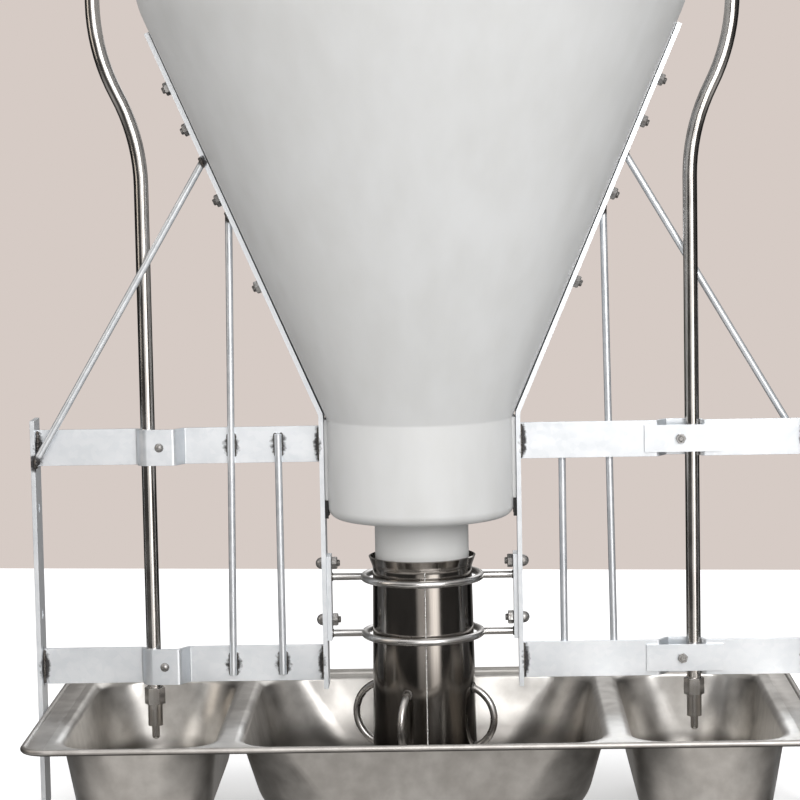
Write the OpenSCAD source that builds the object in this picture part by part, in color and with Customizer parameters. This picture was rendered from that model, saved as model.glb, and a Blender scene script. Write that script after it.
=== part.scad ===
// Dry feed hopper for pigs over a steel trough with three bowls.
// The plastic hopper hangs between two strap uprights in an open bar frame. Feed falls through
// its spout into a steel tube that the animals turn by its loops, and so into the middle bowl.
// Two water pipes end in drinking nipples over the side bowls.
// Frame: X along the trough, Y to the back, Z up, origin on the floor under the hopper's axis.
// The frame is the same after half a turn about Z, so each side piece is drawn once, on the +X side.
// Heights named "above the rim" are measured from the trough's rim.

/* [Trough] */
// Mouth width of the middle bowl
centre_bowl_w = 402; // [340:2:420]
// Mouth width of each side bowl
side_bowl_w = 180; // [170:2:240]
// Mouth depth of all bowls, front to back
bowl_d = 394; // [340:2:460]
// Width of the land between two bowls
land_w = 12; // [10:1:20]
// Width of the flat end rim outside the side bowls' flanges
end_flat_w = 19; // [15:1:50]
// Width of the flat front and back rim outside the bowls' flanges
front_flat_w = 1; // [0.5:0.5:12]
// Height of the rim above the floor
rim_h = 120; // [105:1:150]
// Diameter of the rolled rim
rim_roll_d = 7; // [6:0.5:10]
// Height of the rolled rim's top above the flat rim
rim_proud = 2.5; // [0.4:0.1:3.5]
// Outer corner radius of the rim
rim_corner_r = 30; // [24:1:36]
// Thickness of the trough sheet
trough_sheet = 2; // [1:0.5:3]
// Corner radius of a bowl's mouth
bowl_corner_r = 38; // [15:1:60]
// Corner radius of a bowl's floor
bowl_floor_corner_r = 95; // [30:1:110]
// Radius drawn between the flange and a bowl's wall
bowl_draw_r = 10; // [4:0.5:12]
// Radius between the middle bowl's walls and its floor
centre_floor_r = 70; // [30:1:80]
// Radius between the side bowls' walls and their floors
side_floor_r = 50; // [20:1:60]
// Lean of the middle bowl's walls from the vertical, in degrees
centre_wall_lean = 12; // [3:0.5:15]
// Lean of the side bowls' walls from the vertical, in degrees
side_wall_lean = 7; // [3:0.5:12]

/* [Frame] */
// Width of the flat bars
bar_w = 40; // [36:1:50]
// Thickness of the strap uprights
strap_t = 5; // [4:0.5:8]
// Thickness of the rails
rail_t = 4; // [3:0.5:6]
// Diameter of the frame rods
rod_d = 8; // [6:0.5:10]
// Height of the uprights' lower ends above the rim
upright_low = 25; // [18:1:29]
// Height of the cone's top above the straps' top ends
strap_drop = 36; // [30:1:80]
// Bend radius of the straps and the end posts, at mid thickness
bar_bend_r = 14; // [8:1:20]
// Height of the upper rails' middle above the rim
upper_rail_z = 297; // [283:1:303]
// Height of the lower rails' middle above the rim
lower_rail_z = 51.5; // [49:0.5:58]
// Distance of the long rods from the axis, at the lower rails
long_rod_x = 212.5; // [190:0.5:230]
// Lean of the long rods towards the axis, in degrees
long_rod_lean = 0.8; // [0:0.1:1.5]
// Distance of the short rods from the axis
short_rod_x = 157; // [140:1:175]
// Length of rod that stands out past a rail
rod_over = 8; // [4:1:12]
// Height of a strap's top end above the point where its brace rod meets it
brace_drop = 141; // [130:1:160]
// Height above the rim where a brace rod meets its end post
brace_low_z = 282; // [263:1:293]
// Thickness of the end posts
post_t = 5; // [4:0.5:8]
// Height of the end posts above the rim
post_top = 329; // [325:1:350]
// Length of the end posts' feet on the floor
foot_l = 62; // [55:1:80]
// Diameter of the floor anchor holes
foot_hole_d = 12; // [9:0.5:14]
// Distance of a floor anchor hole from the foot's tip
foot_hole_in = 22; // [15:1:25]
// Diameter of the holes for the pen partition
partition_hole_d = 10; // [8:0.5:12]
// Height of the lower partition hole above the rim
partition_hole_low = 110; // [95:1:130]
// Distance between the two partition holes of a post
partition_hole_pitch = 120; // [90:1:125]

/* [Hopper] */
// Outside diameter of the neck
neck_d = 206; // [190:1:220]
// Height of the neck's bottom above the rim
neck_low = 215; // [212:1:228]
// Height of the neck
neck_h = 110; // [100:1:125]
// Rounding of the neck's lower edge
neck_edge_r = 10; // [6:0.5:14]
// Half angle of the cone, in degrees
cone_half_angle = 23.3; // [22:0.1:25]
// Outside diameter of the hopper's body
hopper_d = 604; // [580:2:640]
// Height of the body above the cone
hopper_body_h = 278; // [200:2:320]
// Radius of the shoulder between cone and body
shoulder_r = 110; // [60:5:160]
// Wall thickness of the hopper
hopper_wall = 5; // [4:0.5:7]
// Length of the spout below the neck
spout_l = 82; // [70:1:90]
// Overhang of the bead round the filling mouth
mouth_bead_w = 6; // [4:0.5:8]
// Height of the bead round the filling mouth
mouth_bead_h = 14; // [10:1:20]
// Height of the side pads moulded on the neck
neck_boss_h = 90; // [70:1:95]
// Width of the side pads moulded on the neck and of the rubber pads
neck_pad_w = 30; // [20:1:36]
// Thickness of the rubber pads between neck and uprights
neck_pad_t = 3; // [2:0.5:5]

/* [Lid] */
// Wall thickness of the lid
lid_wall = 4; // [3:0.5:6]
// Radius inside the lid's corner and on the bead below it
lid_corner_r = 6; // [3:0.5:7]
// Height of the lid's skirt
lid_skirt_h = 32; // [20:1:45]
// Rise of the lid's crown
lid_crown = 26; // [15:1:40]
// Diameter of the lid's raised middle
lid_top_d = 220; // [160:2:280]
// Height of the lid's raised middle
lid_top_h = 12; // [8:1:20]

/* [Feed tube] */
// Outside diameter at the tube's top, below the lip
tube_top_d = 110; // [110:0.5:114]
// Outside diameter at the tube's lower end
tube_low_d = 118; // [114:0.5:120]
// Wall of the tube
tube_wall = 2; // [1:0.25:2]
// Height of the tube's top above the rim
tube_top = 171; // [163:1:175]
// Outside diameter of the flared lip
lip_d = 119; // [116:0.5:120]
// Height of the flared lip
lip_h = 12; // [8:1:16]
// Gap between the tube and the bowl's floor, where feed runs out
feed_gap = 20; // [10:1:26]
// Travel of the tube's height setting
feed_travel = 25; // [10:1:28]
// Turn of the tube and its loops about the axis, in degrees
tube_turn = 72; // [0:1:89]
// Wire diameter of the stirring loops
loop_wire_d = 8; // [6:0.5:9]
// Radius of a loop at the middle of its wire
loop_r = 35.6; // [32:0.1:40]
// Outer reach of the loops from the axis
loop_reach = 85; // [82:0.5:90]
// Height of the loops' middle above the rim, negative below it
loop_z = -10; // [-16:1:-6]

/* [Tube seat] */
// Diameter of the pivot stud
stud_d = 16; // [12:0.5:18]
// Diameter of the pivot stud's foot
stud_foot_d = 50; // [36:1:60]
// Thickness of the pivot stud's foot
stud_foot_t = 4; // [3:0.5:6]
// Length of stud that stands out of the bush when the tube is at its highest
stud_over = 6; // [3:0.5:10]
// Width across flats of the height nut
height_nut_af = 24; // [22:0.5:30]
// Height of the height nut
height_nut_h = 13; // [10:0.5:16]
// Diameter of the thrust washer
thrust_washer_d = 34; // [28:0.5:40]
// Thickness of the thrust washer
thrust_washer_t = 3; // [2:0.5:5]
// Diameter of the bush in the tube's spider
bush_d = 30; // [26:0.5:34]
// Height of the bush
bush_h = 28; // [24:1:34]
// Height of the bush's lower end above the tube's lower end
bush_up = 35; // [32:1:44]
// Thickness of the spider's arms
spider_arm_t = 6; // [4:0.5:8]
// Height of the spider's arms
spider_arm_h = 20; // [14:1:24]

/* [Tube guides] */
// Wire diameter of the guide rings
ring_wire_d = 8; // [6:0.5:8]
// Height of the upper ring above the rim
upper_ring_z = 147.5; // [141:0.5:149]
// Height of the lower ring above the rim
lower_ring_z = 84; // [82:0.5:86]
// Thickness of the guide plates
guide_plate_t = 5; // [4:0.5:6]
// Width of the guide plates
guide_plate_w = 30; // [20:1:36]
// Length of guide plate below the lower ring's arm
guide_plate_under = 6; // [5:0.5:10]
// Length of guide plate above the upper guide bolt
guide_plate_over = 9; // [8:0.5:14]
// Gap between a ring's arm and the nut above it
guide_nut_gap = 4; // [2:0.5:6]

/* [Water] */
// Outside diameter of the water pipe
pipe_d = 16; // [14:0.5:18]
// Wall of the water pipe
pipe_wall = 1.5; // [1:0.25:2]
// Distance of the pipe from the axis
pipe_x = 301; // [281:1:316]
// Height above the rim where the pipe starts to bend outwards
pipe_bend_z = 585; // [560:1:600]
// Bend radius of the pipe at its middle
pipe_bend_r = 220; // [180:5:260]
// Gap between the inlet fitting and the lid
pipe_lid_gap = 21.5; // [15:0.5:30]
// Height of the pipe's top end above the rim
pipe_top = 903; // [880:1:940]
// Length of the rail's tab past the clamp bolt
tab_over = 16; // [13:0.5:20]
// Length along the rail of the slope up to the tab
tab_slope_w = 10; // [8:0.5:14]
// Gap between the clamp bolt and the pipe
clamp_bolt_gap = 2; // [1.5:0.5:4]
// Thickness of the clamp plates
clamp_plate_t = 3; // [2:0.5:5]
// Height of the clamp plates
clamp_plate_h = 30; // [20:1:36]
// Length of clamp plate that lies on the rail at each end
clamp_plate_lap = 14; // [8:1:20]
// Height of the coupling's lower end above the rim
coupling_low = 8.5; // [6:0.5:11]
// Height of the coupling
coupling_h = 19; // [17:0.5:22]
// Wall of the coupling at its flats
coupling_wall = 2; // [1.5:0.25:4]
// Depth to which the pipe enters a fitting
pipe_in = 10; // [8:0.5:10]
// Wall of the nipple's body
nipple_wall = 2.25; // [1.5:0.25:4]
// Length of the nipple's body below the coupling
nipple_l = 24.5; // [23:0.5:28]
// Diameter of the nipple's pin
pin_d = 8.5; // [7:0.25:9]
// Length of pin that stands out of the nipple
pin_out = 16; // [12:0.5:20]
// Height of the pin's head inside the nipple
pin_head_h = 3; // [2:0.5:5]
// Diameter of the nipple's bore above its floor
nipple_bore_d = 12; // [11.5:0.25:12.5]
// Thickness of the nipple's floor round the pin
nipple_floor_t = 6; // [4:0.5:8]
// Thickness of the nipple's seal
seal_t = 2; // [1:0.5:3]
// Gap between the pipe's end and the nipple's, inside the coupling
pipe_end_gap = 1; // [0.5:0.5:2]
// Thread diameter of the pipe's inlet
inlet_thread_d = 20.9; // [18:0.1:21]
// Thread length of the pipe's inlet
inlet_thread_l = 16; // [12:1:20]
// Width across flats of the inlet fitting
inlet_af = 24; // [22:0.5:30]
// Height of the inlet fitting's hexagon
inlet_hex_h = 15; // [14:0.5:18]

/* [Fasteners] */
// Diameter of the strap and guide bolts
bolt_d = 8; // [6:0.5:8]
// Width across flats of the strap and guide nuts
nut_af = 13; // [13:0.5:15]
// Height of the strap and guide nuts
nut_h = 6.5; // [5:0.5:8]
// Length of thread that stands out of a nut
bolt_over = 3; // [1:0.5:5]
// Diameter of the round bolt heads
bolt_head_d = 13; // [12:0.5:16]
// Height of the round bolt heads
bolt_head_h = 5; // [3:0.5:6]
// Height of a strap's top end above its top bolt
strap_bolt_in = 59; // [40:1:70]
// Step down from the top strap bolt to the second
second_bolt_step = 45; // [30:1:60]
// Step down from the second strap bolt to the third
third_bolt_step = 78; // [60:1:90]
// Step down from the third strap bolt to the lowest
lowest_bolt_step = 96; // [80:1:110]
// Diameter of the pipe clamp bolts
clamp_bolt_d = 6; // [5:0.5:6]
// Width across flats of the pipe clamp nuts
clamp_nut_af = 10; // [9:0.5:11]
// Height of the pipe clamp nuts
clamp_nut_h = 5; // [4:0.5:6]

/* [Clearances] */
// Gap between touching pieces that are welded, clamped or screwed together
weld_gap = 0.1; // [0.05:0.05:0.2]
// Gap between the hopper and the metal that carries it
seat_gap = 0.3; // [0.2:0.1:0.6]
// Radial clearance of screws in their holes
hole_gap = 0.3; // [0.2:0.1:0.5]
// Radial clearance of pieces that turn or slide in each other
running_gap = 0.05; // [0.02:0.01:0.09]
// Gap between the water pipe and its clamp
clamp_gap = 0.2; // [0.15:0.05:0.3]
// Gap between the spout and the feed tube's wall
spout_gap = 1; // [0.8:0.1:3]
// Gap between the guide rings and the feed tube's lip
ring_gap = 1.5; // [1:0.1:3]
// Radial gap between a pin's head and its nipple's bore
pin_head_gap = 0.5; // [0.25:0.05:0.8]
// Gap between the lid's skirt and the mouth's bead
lid_gap = 1.5; // [1:0.5:3]
// Gap between a brace rod and the pipe that it passes
brace_gap = 0.8; // [0.5:0.1:1.5]

/* [Hidden] */
$fn = 64;
far = 2000;
corner_steps = 6;
draw_steps = 4;
floor_steps = 6;
bend_steps = 5;

// Trough
flange_w = land_w / 2;
opening_l = centre_bowl_w + 3 * land_w + 2 * side_bowl_w;
opening_d = bowl_d + land_w;
trough_l = opening_l + 2 * (end_flat_w + rim_roll_d);
trough_d = opening_d + 2 * (front_flat_w + rim_roll_d);
side_bowl_x = centre_bowl_w / 2 + land_w + side_bowl_w / 2;
flange_corner_r = 0.5;

// Hopper
neck_r = neck_d / 2;
hopper_r = hopper_d / 2;
spout_r = tube_top_d / 2 - tube_wall - spout_gap;
neck_low_z = rim_h + neck_low;
neck_top_z = neck_low_z + neck_h;
cone_top_z = neck_top_z + (hopper_r - neck_r) / tan(cone_half_angle);
mouth_z = cone_top_z + hopper_body_h;
mouth_r = hopper_r + mouth_bead_w;
skirt_in_r = mouth_r + lid_gap;
skirt_out_r = skirt_in_r + lid_wall;
neck_boss_low_z = neck_top_z - neck_boss_h;

// Frame
upright_in_x = neck_r + neck_pad_t;
upright_out_x = upright_in_x + strap_t;
strap_out = seat_gap + strap_t;
post_in_x = trough_l / 2;
post_out_x = post_in_x + post_t;
rod_y = (rail_t + rod_d) / 2 + weld_gap;
foot_hole_x = post_out_x + foot_l - foot_hole_in;
strap_top_z = cone_top_z - strap_drop;
top_bolt_z = strap_top_z - strap_bolt_in;
second_bolt_z = top_bolt_z - second_bolt_step;
third_bolt_z = second_bolt_z - third_bolt_step;
lowest_bolt_z = third_bolt_z - lowest_bolt_step;
strap_bolt_zs = [lowest_bolt_z, third_bolt_z, second_bolt_z, top_bolt_z];
ring_r = lip_d / 2 + ring_gap + ring_wire_d / 2;
guide_bolt_up = ring_wire_d / 2 + nut_af / 2 / cos(30) + guide_nut_gap;
guide_bolt_zs = [rim_h + lower_ring_z + guide_bolt_up, rim_h + upper_ring_z + guide_bolt_up];
guide_plate_low_z = rim_h + lower_ring_z - guide_plate_under;
guide_plate_top_z = guide_bolt_zs[1] + guide_plate_over;

// Water
pipe_r = pipe_d / 2;
pipe_bore_r = pipe_r - pipe_wall;
pipe_y = pipe_r - rail_t / 2 + clamp_gap;
tab_y = pipe_y + pipe_r + clamp_gap + rail_t / 2;
hook_r = pipe_r + clamp_gap + rail_t / 2;
brace_y = pipe_y + pipe_r + brace_gap + rod_d / 2;
pipe_reach = max(pipe_d, skirt_out_r + pipe_lid_gap + inlet_af / 2 / cos(30) - pipe_x);
pipe_bend_angle = round(10 * acos(1 - pipe_reach / (2 * pipe_bend_r))) / 10;
pipe_shift = 2 * pipe_bend_r * (1 - cos(pipe_bend_angle));
pipe_rise = 2 * pipe_bend_r * sin(pipe_bend_angle);
coupling_low_z = rim_h + coupling_low;
coupling_top_z = coupling_low_z + coupling_h;
pipe_low_z = coupling_top_z - pipe_in;
nipple_low_z = coupling_low_z - nipple_l;
nipple_bore_r = nipple_bore_d / 2;
nipple_spigot_l = coupling_h - pipe_in - pipe_end_gap;
coupling_af = pipe_d + 2 * coupling_wall;
nipple_d = nipple_bore_d + 2 * nipple_wall;
clamp_bolt_x = pipe_x - pipe_r - clamp_gap - clamp_bolt_gap - clamp_bolt_d / 2;
tab_in_x = clamp_bolt_x - tab_over;

// Feed tube and its seat
bowl_floor_z = trough_sheet;
tube_low_z = bowl_floor_z + feed_gap;
tube_top_z = rim_h + tube_top;
lip_low_z = tube_top_z - lip_h;
bush_low_z = tube_low_z + bush_up;
bush_top_z = bush_low_z + bush_h;
stud_top_z = bush_top_z + feed_travel + stud_over;
stud_r = stud_d / 2;
loop_wire_r = loop_wire_d / 2;
loop_centre_r = loop_reach - loop_wire_r - loop_r;
loop_mid_z = rim_h + loop_z;

galvanised = [0.86, 0.88, 0.9];
stainless = [0.62, 0.61, 0.59];
polished = [0.45, 0.44, 0.43];
dark_steel = [0.32, 0.31, 0.3];
white_plastic = [0.9, 0.9, 0.88];
black_rubber = [0.16, 0.16, 0.16];

sides = ["left", "right"];

// Vectors in a plane
function unit(v) = v / norm(v);
function turned(v, w) = [v[0] * cos(w) - v[1] * sin(w), v[0] * sin(w) + v[1] * cos(w)];
function left_of(a, b) = turned(unit(b - a), 90);

// Arc of radius r that rounds the corner p between a and b
function bend(a, p, b, r) =
    let (
        d = unit(p - a),
        e = unit(b - p),
        side = sign(cross(d, e)),
        angle = acos(d * e),
        start = p - d * r * tan(angle / 2),
        centre = start + side * r * turned(d, 90)
    )
    [for (k = [0 : bend_steps]) centre + turned(start - centre, side * angle * k / bend_steps)];

// Path through points with its inner corners rounded by radii
function bent_path(points, radii) = [
    for (i = [0 : len(points) - 1])
        each i == 0 || i == len(points) - 1
            ? [points[i]]
            : bend(points[i - 1], points[i], points[i + 1], radii[i - 1])
];

// Direction in which a strip's edge lies from path point i
function mitre(path, i) =
    i == 0 ? left_of(path[0], path[1]) :
    i == len(path) - 1 ? left_of(path[i - 1], path[i]) :
    let (m = left_of(path[i - 1], path[i]), n = left_of(path[i], path[i + 1]))
    (m + n) / (1 + m * n);

// Outline of a strip of thickness t along a path
function strip(path, t) = concat(
    [for (i = [0 : len(path) - 1]) path[i] + mitre(path, i) * t / 2],
    [for (i = [len(path) - 1 : -1 : 0]) path[i] - mitre(path, i) * t / 2]
);

// Point on the cone's surface line at height z, moved outwards by a distance
function cone_x(z, out) =
    neck_r + (z - neck_top_z) * tan(cone_half_angle) + out / cos(cone_half_angle);

// Height at which the cone's line, moved outwards by a distance, reaches x
function cone_z(x, out) =
    neck_top_z + (x - neck_r - out / cos(cone_half_angle)) / tan(cone_half_angle);

// Ring of points round a rectangle with round corners, with half sizes a and b
function round_rect(a, b, r, z) = [
    for (q = [0 : 3], k = [0 : corner_steps])
        let (
            w = 90 * (q + k / corner_steps),
            sx = q == 0 || q == 3 ? 1 : -1,
            sy = q < 2 ? 1 : -1
        )
        [sx * (a - r) + r * cos(w), sy * (b - r) + r * sin(w), z]
];

// A bowl's section as [inset from the mouth, drop below the rim], thickness t outside its inner face
function bowl_section(lean, floor_r, t) =
    let (
        depth = rim_h - trough_sheet,
        wall_top = bowl_draw_r * (1 - sin(lean)),
        wall_low = depth - floor_r * (1 - sin(lean)),
        floor_inset = bowl_draw_r * cos(lean) + (wall_low - wall_top) * tan(lean) + floor_r * cos(lean),
        draw = bowl_draw_r - t,
        turn = floor_r + t
    )
    concat(
        [for (k = [0 : draw_steps]) let (w = (90 - lean) * k / draw_steps)
            [draw * sin(w), bowl_draw_r - draw * cos(w)]],
        [for (k = [floor_steps : -1 : 0]) let (w = (90 - lean) * k / floor_steps)
            [floor_inset - turn * sin(w), depth - floor_r + turn * cos(w)]]
    );

// Rings of a bowl's face from the flange's edge down to the floor; the corners open fastest below the rim
function bowl_rings(half_w, lean, floor_r, t) =
    let (
        half_d = bowl_d / 2,
        inner = bowl_section(lean, floor_r, 0),
        face = bowl_section(lean, floor_r, t)
    )
    concat(
        [round_rect(half_w + flange_w, half_d + flange_w, flange_corner_r, rim_h - t)],
        [for (i = [0 : len(face) - 1])
            let (
                share = inner[i][1] / (rim_h - trough_sheet),
                wanted = bowl_corner_r + (bowl_floor_corner_r - bowl_corner_r) * sqrt(share),
                a = half_w - inner[i][0],
                b = half_d - inner[i][0],
                r = min(wanted, 0.98 * min(a, b)),
                out = inner[i][0] - face[i][0]
            )
            round_rect(a + out, b + out, r + out, rim_h - face[i][1])]
    );

// Sheet bowl drawn from a flange, in one closed skin of rings
module bowl(half_w, lean, floor_r) {
    inner = bowl_rings(half_w, lean, floor_r, 0);
    outer = bowl_rings(half_w, lean, floor_r, trough_sheet);
    rings = concat([for (i = [len(inner) - 1 : -1 : 0]) inner[i]], outer);
    n = len(rings[0]);
    last = len(rings) - 1;
    polyhedron(
        points = [for (ring = rings) each ring],
        faces = concat(
            [[for (k = [n - 1 : -1 : 0]) k]],
            [for (j = [0 : last - 1], k = [0 : n - 1])
                let (m = (k + 1) % n) [j * n + k, j * n + m, (j + 1) * n + m]],
            [for (j = [0 : last - 1], k = [0 : n - 1])
                let (m = (k + 1) % n) [j * n + k, (j + 1) * n + m, (j + 1) * n + k]],
            [[for (k = [0 : n - 1]) last * n + k]]
        )
    );
}

// Flat rectangle with round corners
module round_square(l, d, r) {
    square([l - 2 * r, d], center = true);
    square([l, d - 2 * r], center = true);
    for (sx = [-1, 1], sy = [-1, 1])
        translate([sx * (l / 2 - r), sy * (d / 2 - r)]) circle(r);
}

// Flat bar outline in the XZ plane, drawn out to the bar's width about Y = 0
module bar_along_y(width) rotate([90, 0, 0]) linear_extrude(width, center = true) children();

// Hexagon with its corners taken off at the given end
module hex_block(af, h) {
    corner_r = af / 2 / cos(30);
    chamfer = corner_r - af / 2;
    intersection() {
        cylinder(r = corner_r, h = h, $fn = 6);
        rotate_extrude() polygon([
            [0, 0], [corner_r + 1, 0], [corner_r + 1, h - 1.1 * chamfer], [af / 2 - 0.2, h], [0, h]
        ]);
    }
}

// Screw nut with its seat at z = 0
module nut(af, h, d) difference() {
    hex_block(af, h);
    translate([0, 0, -1]) cylinder(d = d + 2 * weld_gap, h = h + 2);
}

// Round bolt head below z = 0 with a domed face
module round_head(d, h) {
    dome_r = (d * d / 4 + h * h) / (2 * h);
    intersection() {
        translate([0, 0, -h]) cylinder(d = d, h = h);
        translate([0, 0, dome_r - h]) sphere(dome_r);
    }
}

// Moves children by v in two steps, so that a long decimal keeps its full value
function thousandths(v) = [for (x = v) round(x * 1000) / 1000];
module place(v) translate(thousandths(v)) translate(v - thousandths(v)) children();

// Places children on the +X side or, by half a turn, on the -X side
module on_side(side) rotate([0, 0, side == "right" ? 0 : 180]) children();
module on_both_sides() for (side = sides) on_side(side) children();

// Space on the hopper's side of the straps' outer faces
module inside_strap()
    translate([cone_x(neck_top_z, strap_out), 0, neck_top_z])
        rotate([0, cone_half_angle, 0])
            translate([-far, -far / 2, -far / 2]) cube(far);

// Places children on a strap's outer face, with Z pointing out of it
module at_strap_bolts() for (z = strap_bolt_zs)
    translate([cone_x(z, strap_out), 0, z])
        rotate([0, 90 + cone_half_angle, 0]) children();

// Places children on an upright's outer face, with Z pointing out of it
module at_guide_bolts() for (z = guide_bolt_zs)
    translate([upright_out_x, 0, z]) rotate([0, 90, 0]) children();

// Places children on a rail tab's outer face, with Z pointing out of it
module at_clamp_bolts() for (z = [upper_rail_z, lower_rail_z])
    translate([clamp_bolt_x, tab_y + rail_t / 2, rim_h + z]) rotate([-90, 0, 0]) children();

// Solid bounded by the tube's outside, grown by a gap, without the lip
module tube_core(gap) translate([0, 0, tube_low_z])
    cylinder(r1 = tube_low_d / 2 + gap, r2 = tube_top_d / 2 + gap, h = lip_low_z - tube_low_z);

// Trough
module trough_rim() color(stainless) {
    roll_r = rim_roll_d / 2;
    roll_z = rim_h + rim_proud - roll_r;
    mid_l = trough_l - rim_roll_d;
    mid_d = trough_d - rim_roll_d;
    mid_r = rim_corner_r - roll_r;
    difference() {
        translate([0, 0, rim_h - trough_sheet]) linear_extrude(trough_sheet)
            round_square(mid_l, mid_d, mid_r);
        translate([-opening_l / 2, -opening_d / 2, 0]) cube([opening_l, opening_d, 2 * rim_h]);
    }
    translate([0, 0, roll_z]) {
        for (s = [-1, 1]) {
            translate([0, s * mid_d / 2, 0]) rotate([0, 90, 0])
                cylinder(r = roll_r, h = mid_l - 2 * mid_r, center = true);
            translate([s * mid_l / 2, 0, 0]) rotate([90, 0, 0])
                cylinder(r = roll_r, h = mid_d - 2 * mid_r, center = true);
        }
        for (q = [0 : 3]) {
            sx = q == 0 || q == 3 ? 1 : -1;
            sy = q < 2 ? 1 : -1;
            translate([sx * (mid_l / 2 - mid_r), sy * (mid_d / 2 - mid_r), 0])
                rotate([0, 0, 90 * q]) rotate_extrude(angle = 90)
                    translate([mid_r, 0]) circle(roll_r);
        }
    }
}
module centre_bowl() color(stainless) bowl(centre_bowl_w / 2, centre_wall_lean, centre_floor_r);
module side_bowl(side) color(stainless) on_side(side)
    translate([side_bowl_x, 0, 0]) bowl(side_bowl_w / 2, side_wall_lean, side_floor_r);

// Seat of the feed tube
module pivot_stud() color(dark_steel) translate([0, 0, bowl_floor_z]) {
    cylinder(d = stud_foot_d, h = stud_foot_t);
    cylinder(d = stud_d, h = stud_top_z - bowl_floor_z);
}
module height_nut() color(dark_steel)
    translate([0, 0, bush_low_z - thrust_washer_t - height_nut_h]) difference() {
        hex_block(height_nut_af, height_nut_h);
        translate([0, 0, -1]) cylinder(r = stud_r + running_gap, h = height_nut_h + 2);
    }
module thrust_washer() color(stainless)
    translate([0, 0, bush_low_z - thrust_washer_t]) difference() {
        cylinder(d = thrust_washer_d, h = thrust_washer_t);
        translate([0, 0, -1]) cylinder(r = stud_r + running_gap, h = thrust_washer_t + 2);
    }

// Feed tube, which turns on the stud
module tube_spider() color(stainless) rotate([0, 0, tube_turn]) difference() {
    union() {
        translate([0, 0, bush_low_z]) cylinder(d = bush_d, h = bush_h);
        intersection() {
            translate([-far / 2, -spider_arm_t / 2, bush_low_z]) cube([far, spider_arm_t, spider_arm_h]);
            tube_core(-tube_wall - weld_gap);
        }
    }
    cylinder(r = stud_r + running_gap, h = far);
}
module feed_tube() color(polished) rotate_extrude() polygon([
    [tube_low_d / 2, tube_low_z],
    [tube_top_d / 2, lip_low_z],
    [lip_d / 2, tube_top_z],
    [lip_d / 2 - tube_wall, tube_top_z],
    [tube_top_d / 2 - tube_wall, lip_low_z],
    [tube_low_d / 2 - tube_wall, tube_low_z]
]);
module stir_loop(quarter) color(stainless) difference() {
    rotate([0, 0, tube_turn + 90 * quarter])
        translate([loop_centre_r, 0, loop_mid_z]) rotate([90, 0, 0])
            rotate_extrude() translate([loop_r, 0]) circle(loop_wire_r, $fn = 32);
    tube_core(weld_gap);
}

// Strap upright, bent out along the cone
module upright(side) color(galvanised) on_side(side) {
    mid_x = upright_in_x + strap_t / 2;
    mid_out = seat_gap + strap_t / 2;
    top = [cone_x(strap_top_z, mid_out), strap_top_z];
    path = bent_path(
        [[mid_x, rim_h + upright_low], [mid_x, cone_z(mid_x, mid_out)], top],
        [bar_bend_r]
    );
    difference() {
        bar_along_y(bar_w) polygon(strip(path, strap_t));
        at_strap_bolts() cylinder(r = bolt_d / 2 + hole_gap, h = 6 * strap_t, center = true);
        at_guide_bolts() cylinder(r = bolt_d / 2 + hole_gap, h = 6 * strap_t, center = true);
    }
}

// Rail from upright to end post, set out round the water pipe to make half of its clamp
module rail(side, z) color(galvanised) on_side(side) {
    hook_x = pipe_x + hook_r;
    path = bent_path(
        [
            [upright_out_x + weld_gap, 0], [tab_in_x - tab_slope_w, 0], [tab_in_x, tab_y],
            [hook_x, tab_y], [hook_x, 0], [post_in_x - weld_gap, 0]
        ],
        [rail_t, rail_t, hook_r, rail_t]
    );
    difference() {
        translate([0, 0, rim_h + z - bar_w / 2]) linear_extrude(bar_w) polygon(strip(path, rail_t));
        at_clamp_bolts() cylinder(r = clamp_bolt_d / 2 + hole_gap, h = 4 * rail_t, center = true);
    }
}

// Rods of the frame
module long_rod(side) color(galvanised) on_side(side) difference() {
    translate([long_rod_x, rod_y, rim_h + lower_rail_z]) rotate([0, -long_rod_lean, 0])
        translate([0, 0, rod_over - bar_w / 2]) cylinder(d = rod_d, h = strap_top_z);
    inside_strap();
}
module short_rod(side) color(galvanised) on_side(side) {
    low = lower_rail_z - bar_w / 2 + rod_over;
    high = upper_rail_z + bar_w / 2 - rod_over;
    translate([short_rod_x, rod_y, rim_h + low]) cylinder(d = rod_d, h = high - low);
}
module brace_rod(side) color(galvanised) on_side(side) {
    top_z = strap_top_z - brace_drop;
    top = [cone_x(top_z, strap_out), top_z];
    low = [post_in_x, rim_h + brace_low_z];
    run = low - top;
    lean = atan2(run[0], -run[1]);
    difference() {
        translate([top[0], brace_y, top[1]]) rotate([0, 180 - lean, 0])
            translate([0, 0, -4 * rod_d]) cylinder(d = rod_d, h = norm(run) + 8 * rod_d);
        inside_strap();
        translate([post_in_x - weld_gap, -far / 2, -far / 2]) cube(far);
    }
}

// End post with a foot on the floor
module end_post(side) color(galvanised) on_side(side) {
    mid_x = post_in_x + post_t / 2;
    path = bent_path(
        [[post_out_x + foot_l, post_t / 2], [mid_x, post_t / 2], [mid_x, rim_h + post_top]],
        [bar_bend_r]
    );
    difference() {
        bar_along_y(bar_w) polygon(strip(path, post_t));
        translate([foot_hole_x, 0, -1]) cylinder(d = foot_hole_d, h = post_t + 2);
        for (k = [0, 1])
            translate([mid_x, 0, rim_h + partition_hole_low + k * partition_hole_pitch])
                rotate([0, 90, 0]) cylinder(d = partition_hole_d, h = 2 * post_t, center = true);
    }
}

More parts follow.
